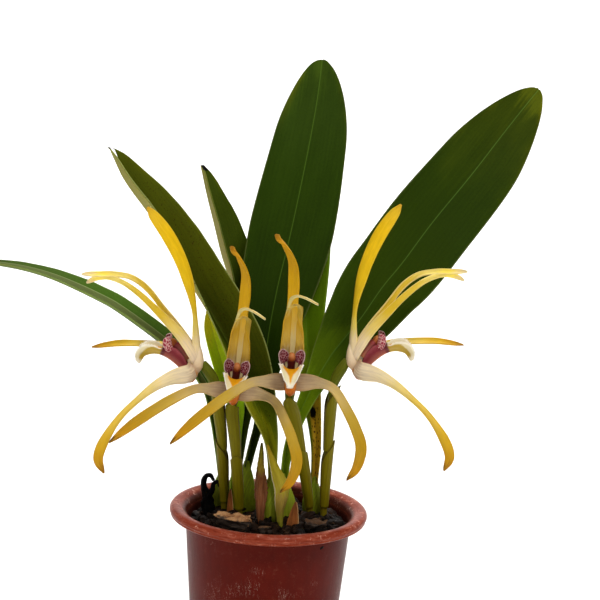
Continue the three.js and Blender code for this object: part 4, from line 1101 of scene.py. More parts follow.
BULBS = {
    "centre": ((-12, 8, 77), (-12.4, 9, 104), 5.6, 4.2),
    "left": ((1, -6, 77), (0.8, -4.6, 101.6), 5.6, 4.4),
    "right": ((9.4, -4, 77), (6.6, -1.8, 101.6), 5.8, 4.4),
    "back_left": ((-17, 21, 77), (-17.3, 22, 100), 5, 4.2),
    "low_left": ((-26, 15, 77), (-25.4, 16, 97), 4.8, 4),
    "back_right": ((22, 15, 77), (22.6, 15, 96), 5, 4.4),
}
BULB_SWELL = [(0, 0.55), (0.22, 0.95), (0.45, 1), (0.72, 0.66), (0.88, 0.4), (1, 0.24)]
NECK = 4
CREEPER_RADIUS = 2.3
RHIZOME = [(-25.6, 15.4, 79.5), (-18.6, 17.6, 80), (-12.6, 9, 80.5), (-4, -2, 80.5), (6, -4.6, 80.5),
           (12, 6, 80.5), (21.8, 15, 79.5)]


def make_bulbs():
    """Fluted bulbs that taper to a neck, on the creeping rhizome that joins them."""
    pieces = []
    for name, (foot, top, wide, deep) in BULBS.items():
        neck = Vector(top) + (Vector(top) - Vector(foot)).normalized() * NECK
        spine = [foot, tuple(np.mean([foot, top], axis=0)), top, tuple(neck)]
        widths = [(at, value * wide) for at, value in BULB_SWELL]
        depths = [(at, value * deep) for at, value in BULB_SWELL]
        pieces.append(stem(name, spine, TO_VIEWER, widths, bulb_green, depths=depths, sides=48, rows=40,
                           flutes=9, flute_depth=0.035, knobs=0.05))
    pieces.append(stem("creeper", RHIZOME, UPWARD, [(0, CREEPER_RADIUS), (1, CREEPER_RADIUS)], creeper_husk,
                       sides=20, rows=90, knobs=0.35))
    return dress(join("pseudobulbs_fine", pieces), "pseudobulb", "rhizome_and_pseudobulbs")


# Leaves

NOTCH_DEPTH = 17
LEAF_CURLS = [(0, 4), (0.3, 6), (1, 6)]
LEAF_WAVE = 0.8
LEAVES = {
    "leaf_centre": dict(
        spine=[(-13, 10.2, 104.7), (-11.2, 11.6, 114.4), (-8.8, 13, 126), (-6.9, 15.5, 139),
               (-5.4, 20, 166.6), (-1.7, 23, 195), (3.1, 25, 220.6), (7.3, 27, 246), (11.1, 30, 271.6),
               (13.6, 33, 291.8), (15.2, 36, 312.2)],
        faces=[(0.5, -1, 0), (0, -1, 0.1), (0.05, -1, 0.15), (0.05, -1, 0.15)],
        widths=[(0, 2.8), (0.1, 4), (0.2, 7.4), (0.3, 13.4), (0.41, 18.8), (0.5, 21), (0.6, 21.8),
                (0.8, 18.8), (1, 14.5)],
        folds=[(0, 60), (0.16, 54), (0.35, 24), (0.6, 10), (1, 6)],
        tip=0.2, material=leaf_dark, slot="leaf_dark"),
    "leaf_right": dict(
        spine=[(6.2, -0.6, 102.8), (7.2, -0.8, 115), (9.4, -0.6, 125.2), (13.2, 0.6, 136.8),
               (19.5, 4.4, 150.5), (27, 9, 164.3), (34.5, 12, 174.5), (42.1, 15, 184.5), (52, 18.5, 200.1),
               (61.5, 20, 213), (75.7, 24, 234), (93.6, 28, 258), (109.3, 32, 280.3), (120.5, 34, 296),
               (125.8, 35, 303)],
        faces=[(0.3, -1, 0), (-0.3, -1, 0.2), (-0.1, -1, 0.12), (-0.1, -1, 0.12)],
        widths=[(0, 3), (0.1, 4.6), (0.2, 6.6), (0.28, 10.6), (0.37, 18), (0.46, 21.4), (0.58, 22.6),
                (0.77, 21), (0.88, 18), (1, 14)],
        folds=[(0, 60), (0.14, 54), (0.3, 26), (0.6, 12), (1, 7)],
        tip=0.2, material=leaf_dark_right, slot="leaf_dark"),
    "leaf_left": dict(
        spine=[(0.6, -3.4, 102), (-0.2, -2.4, 113.5), (-2.6, -1, 125.2), (-10, 4, 139.7),
               (-23.6, 8.4, 165.4), (-34.5, 10, 183), (-44.9, 13, 197.8), (-55, 17, 213.5),
               (-66.1, 21, 228.7), (-80.4, 26, 245.8), (-91, 30, 262.4)],
        faces=[(0.2, -1, 0), (0.5, -0.85, 0.3), (0.66, -0.54, 0.52), (0.66, -0.54, 0.52)],
        widths=[(0, 3), (0.1, 5.4), (0.2, 13), (0.34, 18.8), (0.48, 18.8), (0.62, 17.2), (0.78, 14.2),
                (0.9, 10), (0.97, 5.4), (1, 2.4)],
        folds=[(0, 60), (0.14, 54), (0.34, 50), (0.75, 50), (1, 52)],
        tip=0.05, notch=NOTCH_DEPTH, material=leaf_olive, slot="leaf_olive", back=leaf_back_olive),
    "leaf_back_left": dict(
        spine=[(-17.4, 23, 100.6), (-16.7, 22, 120.8), (-16.9, 24, 147), (-19.9, 28, 172.3),
               (-24.6, 31, 193.5), (-30.7, 34, 210), (-35.8, 38, 226.5), (-40.2, 40, 241.2),
               (-44, 43, 255.3)],
        faces=[(0.1, -1, 0), (0.5, -0.8, 0.2), (0.76, -0.55, 0.3), (0.76, -0.55, 0.3)],
        widths=[(0, 2.8), (0.12, 4.2), (0.28, 9), (0.45, 14), (0.62, 15.4), (0.8, 12), (0.92, 6.6),
                (1, 1.8)],
        folds=[(0, 60), (0.25, 52), (0.5, 46), (1, 46)],
        tip=0.05, material=leaf_mid, slot="leaf_mid", back=leaf_back_olive),
    "leaf_low_left": dict(
        spine=[(-25.8, 17, 97.4), (-28.2, 17.6, 112), (-31.6, 19, 128), (-36.2, 21, 141), (-48, 26, 154.3),
               (-62.3, 30.4, 164.4), (-82.8, 33, 177.5), (-93.5, 33.6, 183.1), (-114.6, 34, 192),
               (-130.5, 35, 196.5), (-146.4, 36, 198.8), (-163.4, 36, 200)],
        faces=[(0.2, -1, 0.2), (0.5, -0.6, 0.6), (0.28, -0.6, 0.75), (0.15, -0.5, 0.85)],
        widths=[(0, 2.8), (0.1, 3.8), (0.24, 6.4), (0.45, 7.6), (0.65, 6.6), (0.8, 4), (0.92, 2.2),
                (1, 1.4)],
        folds=[(0, 60), (0.2, 52), (0.5, 48), (0.8, 40), (1, 40)],
        tip=0.05, material=leaf_low, slot="leaf_mid"),
    "leaf_back_right": dict(
        spine=[(22.6, 16.2, 96.4), (22.8, 17.6, 116.5), (20.2, 20, 139.4), (15.8, 25, 164.4), (14, 30, 190),
               (14.6, 35, 215.5), (16, 40, 240), (17, 44, 258)],
        faces=[(0, -1, 0), (-0.3, -1, 0), (-0.25, -1, 0.1), (-0.2, -1, 0.2)],
        widths=[(0, 2.8), (0.14, 4), (0.28, 6.8), (0.45, 10.8), (0.66, 13), (0.84, 10), (0.94, 5.6), (1, 2)],
        folds=[(0, 60), (0.25, 44), (0.5, 26), (1, 20)],
        tip=0.06, material=leaf_spotted, slot="leaf_mid"),
    "leaf_young": dict(
        spine=[(-19.4, 5.2, 77), (-19, 5.8, 92), (-18.6, 7.4, 105), (-19, 9.6, 119.8), (-21, 12, 138.2),
               (-27.8, 15, 156.4), (-33.2, 18, 171.2), (-36.4, 20, 182.2)],
        faces=[(0.2, -1, 0), (0.3, -1, 0.1), (0.4, -0.9, 0.3), (0.4, -0.9, 0.3)],
        widths=[(0, 2.2), (0.2, 2.6), (0.38, 3.2), (0.54, 5.4), (0.68, 6.4), (0.82, 6), (0.93, 4.8),
                (1, 3.4)],
        folds=[(0, 58), (0.47, 44), (0.74, 24), (1, 20)],
        tip=0.1, material=leaf_lime, slot="leaf_fresh"),
}


def make_leaf(name, slot, back=leaf_back_green, **shape):
    """A leaf with a keel under its rib and softly waved margins."""
    made = blade(name + "_fine", back=back, curls=LEAF_CURLS, thickness=LEAF_THICKNESS, keel=LEAF_KEEL,
                 columns=LEAF_COLUMNS, rows=LEAF_ROWS, wave=LEAF_WAVE, **shape)
    return dress(made, slot, name)


# Sheaths

SHEATH_THICKNESS = 0.5
SHEATH_CURLS = [(0, 14), (1, 14)]
SHEATHS = {
    "dry_sheath_centre": dict(
        spine=[(-4, -12, 77), (-5, -12.2, 90), (-5.4, -10.4, 104), (-5, -6.4, 122)],
        faces=[(0.5, 0.85, 0), (0.2, 1, 0)],
        widths=[(0, 2), (0.24, 3.2), (0.48, 5), (0.62, 3.8), (0.75, 2.4), (0.88, 1.5), (1, 0.5)],
        folds=[(0, 36), (0.5, 34), (1, 30)],
        material=husk_brown, slot="dry_sheath", tear=0.35),
    "young_sheath": dict(
        spine=[(6.8, -14.6, 77), (6.4, -14.8, 90), (7.2, -13.2, 100), (3, -11, 110), (-2, -9.6, 122)],
        faces=[(-0.2, 1, 0), (-0.5, 1, 0)],
        widths=[(0, 1.9), (0.22, 2.4), (0.42, 4.8), (0.58, 4.8), (0.74, 3), (0.88, 1.7), (1, 0.5)],
        folds=[(0, 40), (0.5, 34), (1, 36)],
        material=husk_fresh, slot="fresh_sheath", tear=0.1),
    "dry_sheath_right": dict(
        spine=[(12, -12, 77), (12.6, -12, 84), (13.6, -11.4, 94)],
        faces=TO_VIEWER,
        widths=[(0, 3.8), (0.4, 3.6), (0.75, 2.2), (1, 0.5)], folds=[(0, 26), (1, 34)],
        material=husk_orange, slot="dry_sheath", tear=0.2),
    "dry_sheath_left": dict(
        spine=[(-19.6, 1, 77), (-19.4, 0.8, 86), (-19.8, 1.4, 95)],
        faces=TO_VIEWER,
        widths=[(0, 1.8), (0.4, 2), (0.75, 1.4), (1, 0.4)], folds=[(0, 30), (1, 40)],
        material=husk_orange, slot="dry_sheath", tear=0.3),
}
REMNANT_WIDTHS = [(0, 4.4), (0.3, 3.2), (0.5, 1.9), (1, 0.8)]
REMNANT = [(-30.4, 6.5, 76), (-31.4, 7, 87), (-33.6, 7.5, 94), (-33.2, 7.5, 98.8), (-30.6, 7.2, 100),
           (-28.8, 7, 97.4)]
SIDE_CURL_WIDTHS = [(0, 1.8), (0.6, 1.1), (1, 0.5)]
SIDE_CURL = [(-31.4, 6.4, 88), (-29.4, 6, 92.4), (-28.6, 5.8, 96), (-26.6, 5.8, 97), (-25.8, 5.8, 94.6)]


def make_sheath(name, slot, **shape):
    """A thin papery sheath with a torn, fine margin."""
    made = blade(name + "_fine", curls=SHEATH_CURLS, thickness=SHEATH_THICKNESS, rows=70, columns=17,
                 wave=1.0, thin_edge=0.5, **shape)
    return dress(made, slot, name)


def make_remnant():
    """A knobbly burnt stalk that curls over, with a smaller curl at its side."""
    knobbly = {"material": charred, "sides": 24, "rows": 90, "flutes": 5, "flute_depth": 0.12, "knobs": 1.0}
    main = stem("main", REMNANT, TO_VIEWER, REMNANT_WIDTHS, **knobbly)
    side = stem("side", SIDE_CURL, TO_VIEWER, SIDE_CURL_WIDTHS, **knobbly)
    return dress(join("curled_remnant_fine", [main, side]), "remnant", "curled_remnant")


# Blooms: points are (forward, left, up) from the top of the ovary

PETAL_CURLS = [(0, 34), (0.5, 44), (1, 40)]
CROSSED_CURLS = [(0, 30), (0.5, 44), (1, 60)]
LATERAL_CURLS = [(0, 24), (0.6, 26), (1, 30)]
SEPAL_WIDTHS = [(0, 4.4), (0.1, 4.6), (0.22, 3.4), (0.34, 2.4), (0.48, 1.6), (0.64, 1.7), (0.8, 2.4),
                (0.9, 2.2), (0.96, 1.5), (1, 0.7)]
TALL_SEPAL = dict(
    spine=[(-1.2, 0, 1), (-1.5, 0, 10), (-1, 0, 21), (0.2, 0.8, 32), (4, 1.6, 48.5), (10, -1, 64),
           (18.5, -7, 79)],
    faces=[(1, 0, 0.1), (1, 0, 0), (0.9, 0.5, 0), (0.5, 0.9, 0), (0.3, 1, 0), (0.2, 1, 0), (0.2, 1, 0)],
    widths=[(0, 4.8), (0.1, 4.4), (0.2, 2.8), (0.28, 1.9), (0.38, 2.2), (0.5, 2.8), (0.66, 3.1), (0.82, 3.1),
            (0.93, 2.4), (1, 1)],
    curls=[(0, 130), (0.12, 125), (0.22, 90), (0.32, 36), (0.6, 22), (1, 26)], material=tall_cloth)
NODDING_SEPAL = dict(
    spine=[(0, 0, 1), (0.6, 0, 12), (2.2, -0.4, 24), (5, -0.8, 35), (9.4, -0.6, 46), (14, -1.4, 57),
           (18.4, -5.4, 65), (22, -10.4, 70)],
    faces=[(1, 0, 0.1), (1, 0, 0), (1, -0.1, 0), (0.9, -0.4, 0), (0.7, -0.8, 0.1), (0.3, -0.7, 0.6)],
    widths=[(0, 3.8), (0.1, 3.6), (0.26, 3.4), (0.4, 2.8), (0.5, 2.5), (0.62, 2.9), (0.8, 2.9), (0.93, 2.4),
            (1, 1)],
    curls=[(0, 60), (0.3, 40), (0.6, 26), (1, 26)], material=shaded_nodding_cloth)
PETAL_WIDTHS = [(0, 2.9), (0.08, 3.1), (0.24, 2.6), (0.38, 1.8), (0.5, 1.35), (0.65, 1.35), (0.82, 1.7),
                (0.93, 1.5), (1, 1)]
CROSSED_WIDTHS = [(0, 2.4), (0.12, 2.5), (0.4, 2.2), (0.55, 2.2), (0.62, 1.4), (0.7, 0.65), (1, 0.35)]
INNER_WIDTHS = [(0, 2.4), (0.12, 2.5), (0.45, 2.2), (0.68, 2.2), (0.76, 1.3), (0.84, 0.6), (1, 0.35)]
SPREAD_WIDTHS = [(0, 4.2), (0.1, 3.9), (0.22, 2.3), (0.34, 2.1), (0.55, 2.5), (0.76, 2.8), (0.9, 2),
                 (1, 0.5)]
PETALS = [
    dict(spine=[(0, -1.6, 2), (1.4, -3, 6.6), (7.2, -3.8, 16.4), (15.6, -3.8, 26), (24, -3.4, 35),
                (32, -2.6, 41.6), (40, -0.6, 44.8), (47, 4.2, 44.4), (53, 9.6, 42)],
         faces=[(0.7, 0.7, 0), (0.65, 0.75, 0), (0.4, 0.85, 0.3), (0.1, 0.8, 0.6), (0, 0.8, 0.6)],
         widths=PETAL_WIDTHS, curls=PETAL_CURLS, material=petal_cloth),
    dict(spine=[(0, 1.6, 2), (1.4, 3, 6.6), (7.4, 4, 17), (15.2, 4, 28), (22.2, 3.6, 38), (29.8, 2.6, 44.2),
                (38, 0.2, 46.4), (45.6, -3.4, 47.4), (52.6, -6.4, 48.4)],
         faces=[(0.7, -0.7, 0), (0.65, -0.75, 0), (0.5, -0.75, 0.4), (0.1, -0.7, 0.7), (0, -0.7, 0.7)],
         widths=PETAL_WIDTHS, curls=PETAL_CURLS, material=petal_cloth),
]
CROSSED_PETALS = [
    dict(spine=[(0.6, -1.6, 1.5), (2, -3.2, 6), (8, -3.7, 14.5), (17, -3.5, 25.5), (27, -3, 36.8),
                (35, -1, 43), (43, 3.2, 45), (50, 10.6, 43)],
         faces=[(0.9, 0.4, 0), (0.9, 0.4, 0), (0.8, 0.4, 0.2), (0.3, 0.5, 0.8), (0, 0.3, 1)],
         widths=CROSSED_WIDTHS, curls=CROSSED_CURLS, material=crossed_cloth),
    dict(spine=[(0.6, 1.6, 1.5), (2, 3.2, 6), (8, 3.8, 15), (18, 3.6, 26.5), (28, 3.3, 36), (35, 1, 40),
                (41, -2.4, 39)],
         faces=[(0.9, -0.4, 0), (0.9, -0.4, 0), (0.8, -0.4, 0.2), (0.3, -0.5, 0.8), (0, -0.3, 1)],
         widths=INNER_WIDTHS, curls=CROSSED_CURLS, material=shaded_crossed_cloth),
]
SIDE_SEPALS = [
    dict(spine=[(1.6, -2, -1.4), (3.4, -5.4, -3.4), (11.2, -11.5, -3.6), (19.3, -17.4, -6.2),
                (28.1, -22, -11.8), (37, -25, -19.5), (44.4, -27, -29.5), (48, -27, -38.2),
                (46, -26, -45.5)],
         faces=[(0.6, 0.75, 0.1), (0.5, 0.85, 0.2), (0.3, 0.9, 0.3), (0.1, 1, 0.1)],
         widths=SEPAL_WIDTHS, curls=LATERAL_CURLS, material=sepal_cloth),
    dict(spine=[(1.6, 2, -1), (3.8, 5.6, -1.6), (11, 16, 3.2), (20.1, 27, 5.2), (29, 35, 5), (45, 45, 4.2),
                (60, 51, 2.2)],
         faces=[(0.5, -0.3, 0.8), (0.2, -0.3, 0.95), (0.2, -0.4, 0.9), (0.3, -0.6, 0.7)],
         widths=[(0, 3), (0.15, 2.2), (0.45, 2.4), (0.75, 2.4), (0.9, 1.7), (1, 0.5)],
         curls=LATERAL_CURLS, material=sepal_cloth),
]
SPREAD_SEPALS = [
    dict(spine=[(1.8, -1.8, -2.2), (3.4, -5, -2.4), (8, -10.9, -1.6), (17, -18.6, -0.8), (29, -28.2, -4.8),
                (37, -40.6, -14.2), (43, -53, -25.4)],
         faces=[(0.8, 0.5, 0.1), (0.8, 0.3, 0.3), (0.75, -0.2, 0.6), (0.7, -0.4, 0.6)],
         widths=SPREAD_WIDTHS, curls=LATERAL_CURLS, material=shaded_spread_cloth),
    dict(spine=[(1.8, 1.8, -2.2), (3.4, 5, -2.2), (8, 12.4, -1), (15, 20, -1.8), (20.4, 25.6, -8.4),
                (23.6, 31.2, -18.4), (25, 34.2, -27.2), (24, 32.8, -37), (22, 28.6, -44)],
         faces=[(0.8, -0.5, 0.1), (0.8, 0, 0.4), (0.8, 0.4, 0.3), (1, 0.2, 0)],
         widths=SPREAD_WIDTHS, curls=LATERAL_CURLS, material=shaded_spread_cloth),
]

# The lip's sides are how high its margins turn up beside its line
LIP = dict(
    spine=[(5.6, 0, -2.4), (8, 0, 0.2), (11.2, 0, 3.4), (15, 0, 6.3), (19, 0, 8), (23, 0, 8.2), (27, 0, 6.9),
           (29.9, 0, 3.2)],
    faces=[(-0.7, 0, 0.7), (-0.4, 0, 1), (0, 0, 1), (0.6, 0, 0.7)],
    widths=[(0, 2), (0.2, 2.8), (0.34, 3.4), (0.5, 4), (0.6, 5.2), (0.72, 5), (0.88, 3.2), (1, 0.7)],
    sides=[(0, 1), (0.14, 3.8), (0.34, 5.2), (0.44, 4.2), (0.54, 2.2), (0.62, 2.3), (0.74, 2.8), (0.88, 1.8),
           (1, 0.2)])
LIP_ROWS = 60
LIP_CROWD = 1.2
LIP_THICKNESS = 0.6
LIP_KEEL = 1.3
LIP_BEND = 12
LIP_DROOP = 0.12
TONGUE_START = 0.56
HAIRS_A_SIDE = 110
HAIR_LENGTH = 0.9
HAIR_THICKNESS = 0.11
LIP_LOBE = dict(
    spine=[(12, 3.6, 8.6), (12.6, 4.4, 10.8), (12.8, 4.8, 13), (12.6, 4.7, 15.2)],
    faces=[(0.8, -0.6, 0.1), (0.8, -0.6, 0)],
    widths=[(0, 2), (0.3, 2.9), (0.65, 3.2), (0.88, 2.6), (1, 1.2)],
    curls=[(0, 50), (1, 64)], material=lobe_inside, back=lobe_outside)

# The closed pieces in the middle of a bloom, its ovary and its stalk
HEART = dict(
    spine=[(1.4, 0, -3.6), (0, 0, 0.6), (-1.1, 0, 5), (-0.9, 0, 11)], faces=AHEAD,
    widths=[(0, 1.6), (0.25, 3.6), (0.6, 2.6), (1, 0.8)],
    depths=[(0, 1.6), (0.25, 3.2), (0.6, 1.8), (1, 0.6)], material=heart_cream, sides=24, rows=36)
CHIN = dict(
    spine=[(2, 0, -1), (3.4, 0, -5), (5, 0, -8.8)], faces=AHEAD,
    widths=[(0, 3), (0.5, 2.8), (0.85, 2), (1, 0.5)], material=chin_orange, sides=24, rows=30)
COLUMN = dict(
    spine=[(5, 0, 2.8), (7.6, 0, 7), (10.4, 0, 11)], faces=AHEAD,
    widths=[(0, 2), (0.5, 1.8), (0.85, 2.1), (1, 1.6)], material=column_pink, sides=20, rows=24, flutes=3,
    flute_depth=0.06)
ANTHER_CAP = dict(
    centre=(11.5, 0, 11.4), axis=(0.4, 0, 0.9), half_length=2.5, half_width=2, material=cap_brown, sides=24,
    flutes=2, flute_depth=0.08)
OVARY = [(-9, 0, -15), (-7.4, 0, -8.4), (-4.2, 0, -2.4), (-2.6, 0, 1)]
SCAPE_WIDTHS = [(0, 1.7), (0.6, 1.9), (0.78, 1.7), (0.9, 2.7), (0.96, 2.6), (1, 1.6)]

# Bracts: first and last row of the stalk that they wrap, half width, and how they widen and wrap along
SCAPE_ROWS = 121
BRACTS = ((14, 62, 2.5), (54, 104, 2.7))
BRACT_SWELL = [(0, 0.78), (0.4, 1), (0.85, 1.16), (1, 1.26)]
BRACT_WRAP = [(0, 3.0), (0.6, 2.9), (0.82, 2.0), (0.94, 0.9), (1, 0.12)]
BRACT_THICKNESS = 0.35

# The blooms at the sides are seen from their side, and the two between them from the front
SIDE_FORM = dict(sepal=TALL_SEPAL, petals=PETALS, laterals=SIDE_SEPALS, droop=0)
FRONT_FORM = dict(sepal=NODDING_SEPAL, petals=CROSSED_PETALS, laterals=SPREAD_SEPALS, droop=LIP_DROOP)
BLOOMS = {
    "outer_left": dict(
        base=(-38.2, -10, 160.7), heading=180, nod=6, lean=0, mirror=-1, form=SIDE_FORM,
        stalk=[(-22.9, 8, 76), (-22.9, 7.6, 86), (-24, 4.4, 104.3), (-25, -0.4, 120.7), (-26.8, -5.5, 136)]),
    "inner_left": dict(
        base=(-19.1, -16, 152.5), heading=-90, nod=0, lean=5, mirror=1, form=FRONT_FORM,
        stalk=[(-15, 0.4, 76), (-15, 0.2, 86), (-16.7, -4, 106.5), (-18.2, -7.5, 122)]),
    "inner_right": dict(
        base=(7.9, -27, 161), heading=-90, nod=0, lean=0, mirror=1, form=FRONT_FORM,
        stalk=[(20.6, 6, 76), (20.6, 5.6, 86), (17.6, 0.5, 104.4), (14.1, -6.5, 121.8),
               (10.4, -13.5, 138.2)]),
    "outer_right": dict(
        base=(37.5, -9, 165.9), heading=0, nod=0, lean=0, mirror=1, form=SIDE_FORM,
        stalk=[(28.1, 6.6, 76), (28.1, 6.2, 86), (28.1, 4, 106.3), (28.2, 0, 123.7), (28.2, -5, 140)]),
}


def turn_of(bloom):
    """Which way a bloom looks, nods and leans."""
    x, y, z = (math.radians(a) for a in (-bloom["lean"], bloom["nod"], bloom["heading"]))
    return Matrix.Rotation(z, 4, "Z") @ Matrix.Rotation(y, 4, "Y") @ Matrix.Rotation(x, 4, "X")


def place_of(bloom):
    """From the bloom's own axes to its place on the plant."""
    return Matrix.Translation(Vector(bloom["base"]) * MM) @ turn_of(bloom)


def mirrored(shape, mirror):
    """The same shape, or the one on the bloom's other side where mirror is -1."""
    spine, faces = ([(x, y * mirror, z) for x, y, z in shape[key]] for key in ("spine", "faces"))
    return {**shape, "spine": spine, "faces": faces}


def make_tepals(name, bloom):
    """Sepals, petals, the heart that holds them and the chin below it."""
    place = place_of(bloom)
    form = bloom["form"]
    pieces = [blade(f"{name}_tepal_{i}", **mirrored(shape, bloom["mirror"]), wave=0.5, tip=0.06, place=place)
              for i, shape in enumerate([form["sepal"], *form["petals"], *form["laterals"]])]
    pieces.append(stem("heart", **HEART, place=place))
    pieces.append(stem("chin", **CHIN, place=place))
    return dress(join(f"tepals_{name}_fine", pieces), "tepal", f"tepals_{name}")


def lip_stations(droop):
    """The lip's line, with its arc and curl worked out from its half width and its upturned sides."""
    spine = [(x, y, z - droop * max(0, x - LIP_BEND)) for x, y, z in LIP["spine"]]
    origin, tangent, run, part = run_along(spine, LIP_ROWS, LIP_CROWD)
    face = facing(LIP["faces"], part, tangent)
    half = profile(LIP["widths"])(part)
    high = profile(LIP["sides"])(part)
    if not droop:
        high = high * (1 + 0.4 * np.clip((part - 0.5) * 8, 0, 1))
    curl = 2 * np.arctan2(high, half)
    return dict(origin=origin, side=np.cross(tangent, face), face=face, arc=half * curl / np.sin(curl),
                curl=curl, run=run, part=part)


def make_hairs(lip, hand, place):
    """The fringe along one margin of the lip's tongue. The hairs point outwards from it."""
    tongue = lip["part"] > TONGUE_START
    origin, side, face, arc, curl = (lip[key][tongue] for key in ("origin", "side", "face", "arc", "curl"))
    across = arc * np.sin(curl) / curl * hand
    rise = arc * (1 - np.cos(curl)) / curl
    margin = origin + side * across[:, None] + face * rise[:, None]
    outward = side * (np.cos(curl) * hand)[:, None] + face * np.sin(curl)[:, None]
    rows = np.arange(len(margin))
    dense = np.linspace(0, len(margin) - 1, HAIRS_A_SIDE)
    margin, outward = (np.stack([np.interp(dense, rows, rail[:, k]) for k in range(3)], 1)
                       for rail in (margin, outward))
    hairs = grow("hairs", guide_mesh("hairs", margin, outward=outward), FRINGE, Length=HAIR_LENGTH * MM,
                 Thickness=HAIR_THICKNESS * MM, Seed=RANDOM_SEED + hand, Material=fringe_white)
    return put(hairs, place)


def make_lip(name, bloom):
    """The lip's claw and tongue with their upturned sides, its two side lobes and its fringe."""
    place = place_of(bloom)
    lip = lip_stations(bloom["form"]["droop"])
    flat = np.zeros(LIP_ROWS)
    guide = guide_mesh("cup", lip["origin"], side=lip["side"], face=lip["face"], width=lip["arc"] * MM,
                       fold=flat, curl=lip["curl"], run=lip["run"] * MM, part=lip["part"], gap=flat)
    cup = grow("cup", guide, BLADE, Columns=21, Rows=LIP_ROWS, Lift=0.0, Wave=0.9 * MM, Tear=0.12, Split=2.0,
               Material=lip_inside)
    put(thicken(cup, LIP_THICKNESS, LIP_KEEL, back=lip_outside), place)
    lobes = [blade(f"lobe_{hand}", **mirrored(LIP_LOBE, hand), wave=1.4, tear=0.15, thickness=LIP_THICKNESS,
                   columns=15, rows=40, tip=0.25, place=place)
             for hand in (1, -1)]
    hairs = [make_hairs(lip, hand, place) for hand in (1, -1)]
    return dress(join(f"lip_{name}_fine", [cup, *lobes, *hairs]), "lip", f"lip_{name}")


def make_column(name, bloom):
    """The column and its anther cap."""
    place = place_of(bloom)
    post = stem("post", **COLUMN, place=place)
    cap = ball("cap", **ANTHER_CAP, place=place)
    return dress(join(f"column_{name}_fine", [post, cap]), "column", f"column_{name}")


def make_bract(stalk, outward, start, end, wide):
    """A sheath wrapped round the stalk between two of its rows."""
    origin, tangent, run, part = (value[start:end] for value in stalk)
    face = -facing([outward] * 2, part, tangent)
    along = np.linspace(0, 1, end - start)
    radius = profile([(at, wide * swell) for at, swell in BRACT_SWELL])(along)
    wrap = profile(BRACT_WRAP)(along)
    flat = np.zeros(end - start)
    guide = guide_mesh("bract", origin - face * radius[:, None], side=np.cross(tangent, face), face=face,
                       width=radius * wrap * MM, curl=wrap, fold=flat, run=run * MM, part=part, gap=flat)
    made = grow("bract", guide, BLADE, Columns=25, Rows=end - start, Lift=0.0, Wave=0.0, Tear=0.05,
                Split=2.0, Material=bract_green)
    return thicken(made, BRACT_THICKNESS)


def make_scape(name, bloom):
    """A flower stalk with its ovary and sheathing bracts."""
    turn = turn_of(bloom)
    ovary = [tuple(turn @ Vector(p) + Vector(bloom["base"])) for p in OVARY]
    outward = tuple(turn @ Vector((1, 0, 0.2)))
    spine = [*bloom["stalk"], *ovary]
    pieces = [stem("stalk", spine, [outward] * 2, SCAPE_WIDTHS, scape_green, sides=20, rows=90, flutes=6,
                   flute_depth=0.03, knobs=0.06)]
    stalk = run_along(spine, SCAPE_ROWS)
    pieces += [make_bract(stalk, outward, *bract) for bract in BRACTS]
    return dress(join(f"scape_{name}_fine", pieces), "scape", f"scape_{name}")


# Stage, light and camera

# Lamps in metres and watts: place, what they shine at, size and power
PLANT_MIDDLE = (0, 0, 0.16)
LAMPS = {
    "key": ((0.35, -0.85, 1.4), PLANT_MIDDLE, 0.5, 14.5),
    "fill": ((-1.0, -1.0, 0.6), PLANT_MIDDLE, 0.9, 3),
    "top": ((0.1, 0.5, 1.5), PLANT_MIDDLE, 0.8, 6.5),
    "backdrop": ((0, 1.5, 2.6), (0, 2.4, 0.7), 1.2, 75),
}
WORLD_STRENGTH = 0.36

# The floor's line, away from the viewer and up in metres, and half its width
FLOOR_LINE = [(-4, 0), (1.6, 0), (2.0, 0.1), (2.3, 0.4), (2.4, 0.9), (2.4, 4)]
FLOOR_REACH = 6


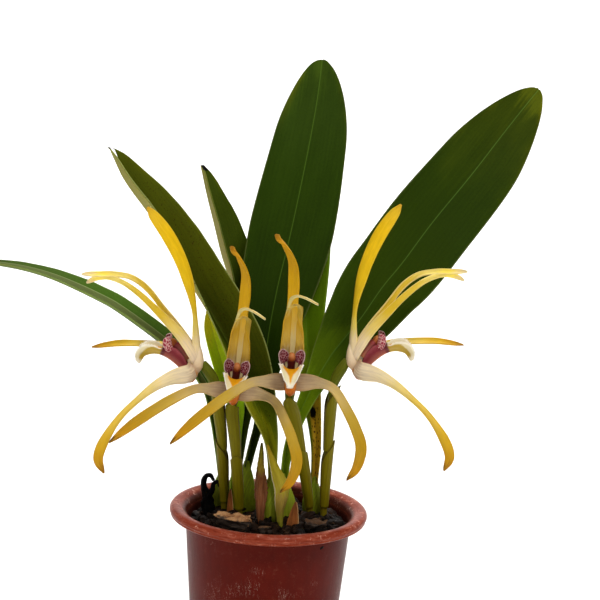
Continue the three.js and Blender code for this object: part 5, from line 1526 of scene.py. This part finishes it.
def make_stage():
    """A pale floor that curves up into a backdrop."""
    line = rounded_outline(FLOOR_LINE, 0.3, 6)
    verts = [(x, p.x, p.y) for p in line for x in (-FLOOR_REACH, FLOOR_REACH)]
    faces = [(2 * i, 2 * i + 1, 2 * i + 3, 2 * i + 2) for i in range(len(line) - 1)]
    mesh = bpy.data.meshes.new("floor")
    mesh.from_pydata(verts, [], faces)
    floor = link("floor", mesh)
    paint = Finish("floor", Roughness=0.9, Specular_IOR_Level=0.1)
    cloud = paint.noise(paint.position(), 0.004)
    mesh.materials.append(paint.done(paint.blend(cloud, "f4f3f1", "f7f6f4")))


def add_light(name, place, aim, size, power):
    """A round lamp that shines at a point."""
    light = bpy.data.lights.new(name, "AREA")
    light.shape = "DISK"
    light.size = size
    light.energy = power
    lamp = bpy.data.objects.new(name, light)
    lamp.location = place
    lamp.rotation_mode = "QUATERNION"
    lamp.rotation_quaternion = (Vector(aim) - Vector(place)).to_track_quat("-Z", "Y")
    bpy.context.scene.collection.objects.link(lamp)


def make_lights():
    """Even daylight from all round, with lamps for form and for the backdrop."""
    bpy.context.scene.view_settings.view_transform = "Standard"
    world = bpy.data.worlds.new("world")
    world.use_nodes = True
    light = world.node_tree.nodes["Background"].inputs
    light["Color"].default_value = (1, 1, 1, 1)
    light["Strength"].default_value = WORLD_STRENGTH
    bpy.context.scene.world = world
    for name, lamp in LAMPS.items():
        add_light(name, *lamp)


def make_camera():
    """Looks a little down at the plant, slightly rolled."""
    pitch, roll = math.radians(CAMERA_PITCH), math.radians(CAMERA_ROLL)
    ahead = Vector((0, math.cos(pitch), -math.sin(pitch)))
    camera = bpy.data.objects.new("camera", bpy.data.cameras.new("camera"))
    camera.location = (Vector(CAMERA_AIM) - ahead * CAMERA_DISTANCE) * MM
    level = ahead.to_track_quat("-Z", "Y").to_matrix()
    camera.rotation_euler = (level @ Matrix.Rotation(roll, 3, "Z")).to_euler()
    camera.data.sensor_width = SENSOR
    camera.data.lens = CAMERA_LENS
    camera.data.clip_start = 0.01
    bpy.context.scene.collection.objects.link(camera)
    bpy.context.scene.camera = camera


make_pot()
make_soil()
for chip, shape in CHIPS.items():
    make_chip(chip, *shape)
make_bulbs()
for leaf, shape in LEAVES.items():
    make_leaf(leaf, **shape)
for sheath, shape in SHEATHS.items():
    make_sheath(sheath, **shape)
make_remnant()
for flower, bloom in BLOOMS.items():
    make_scape(flower, bloom)
    make_tepals(flower, bloom)
    make_lip(flower, bloom)
    make_column(flower, bloom)
make_stage()
make_lights()
make_camera()
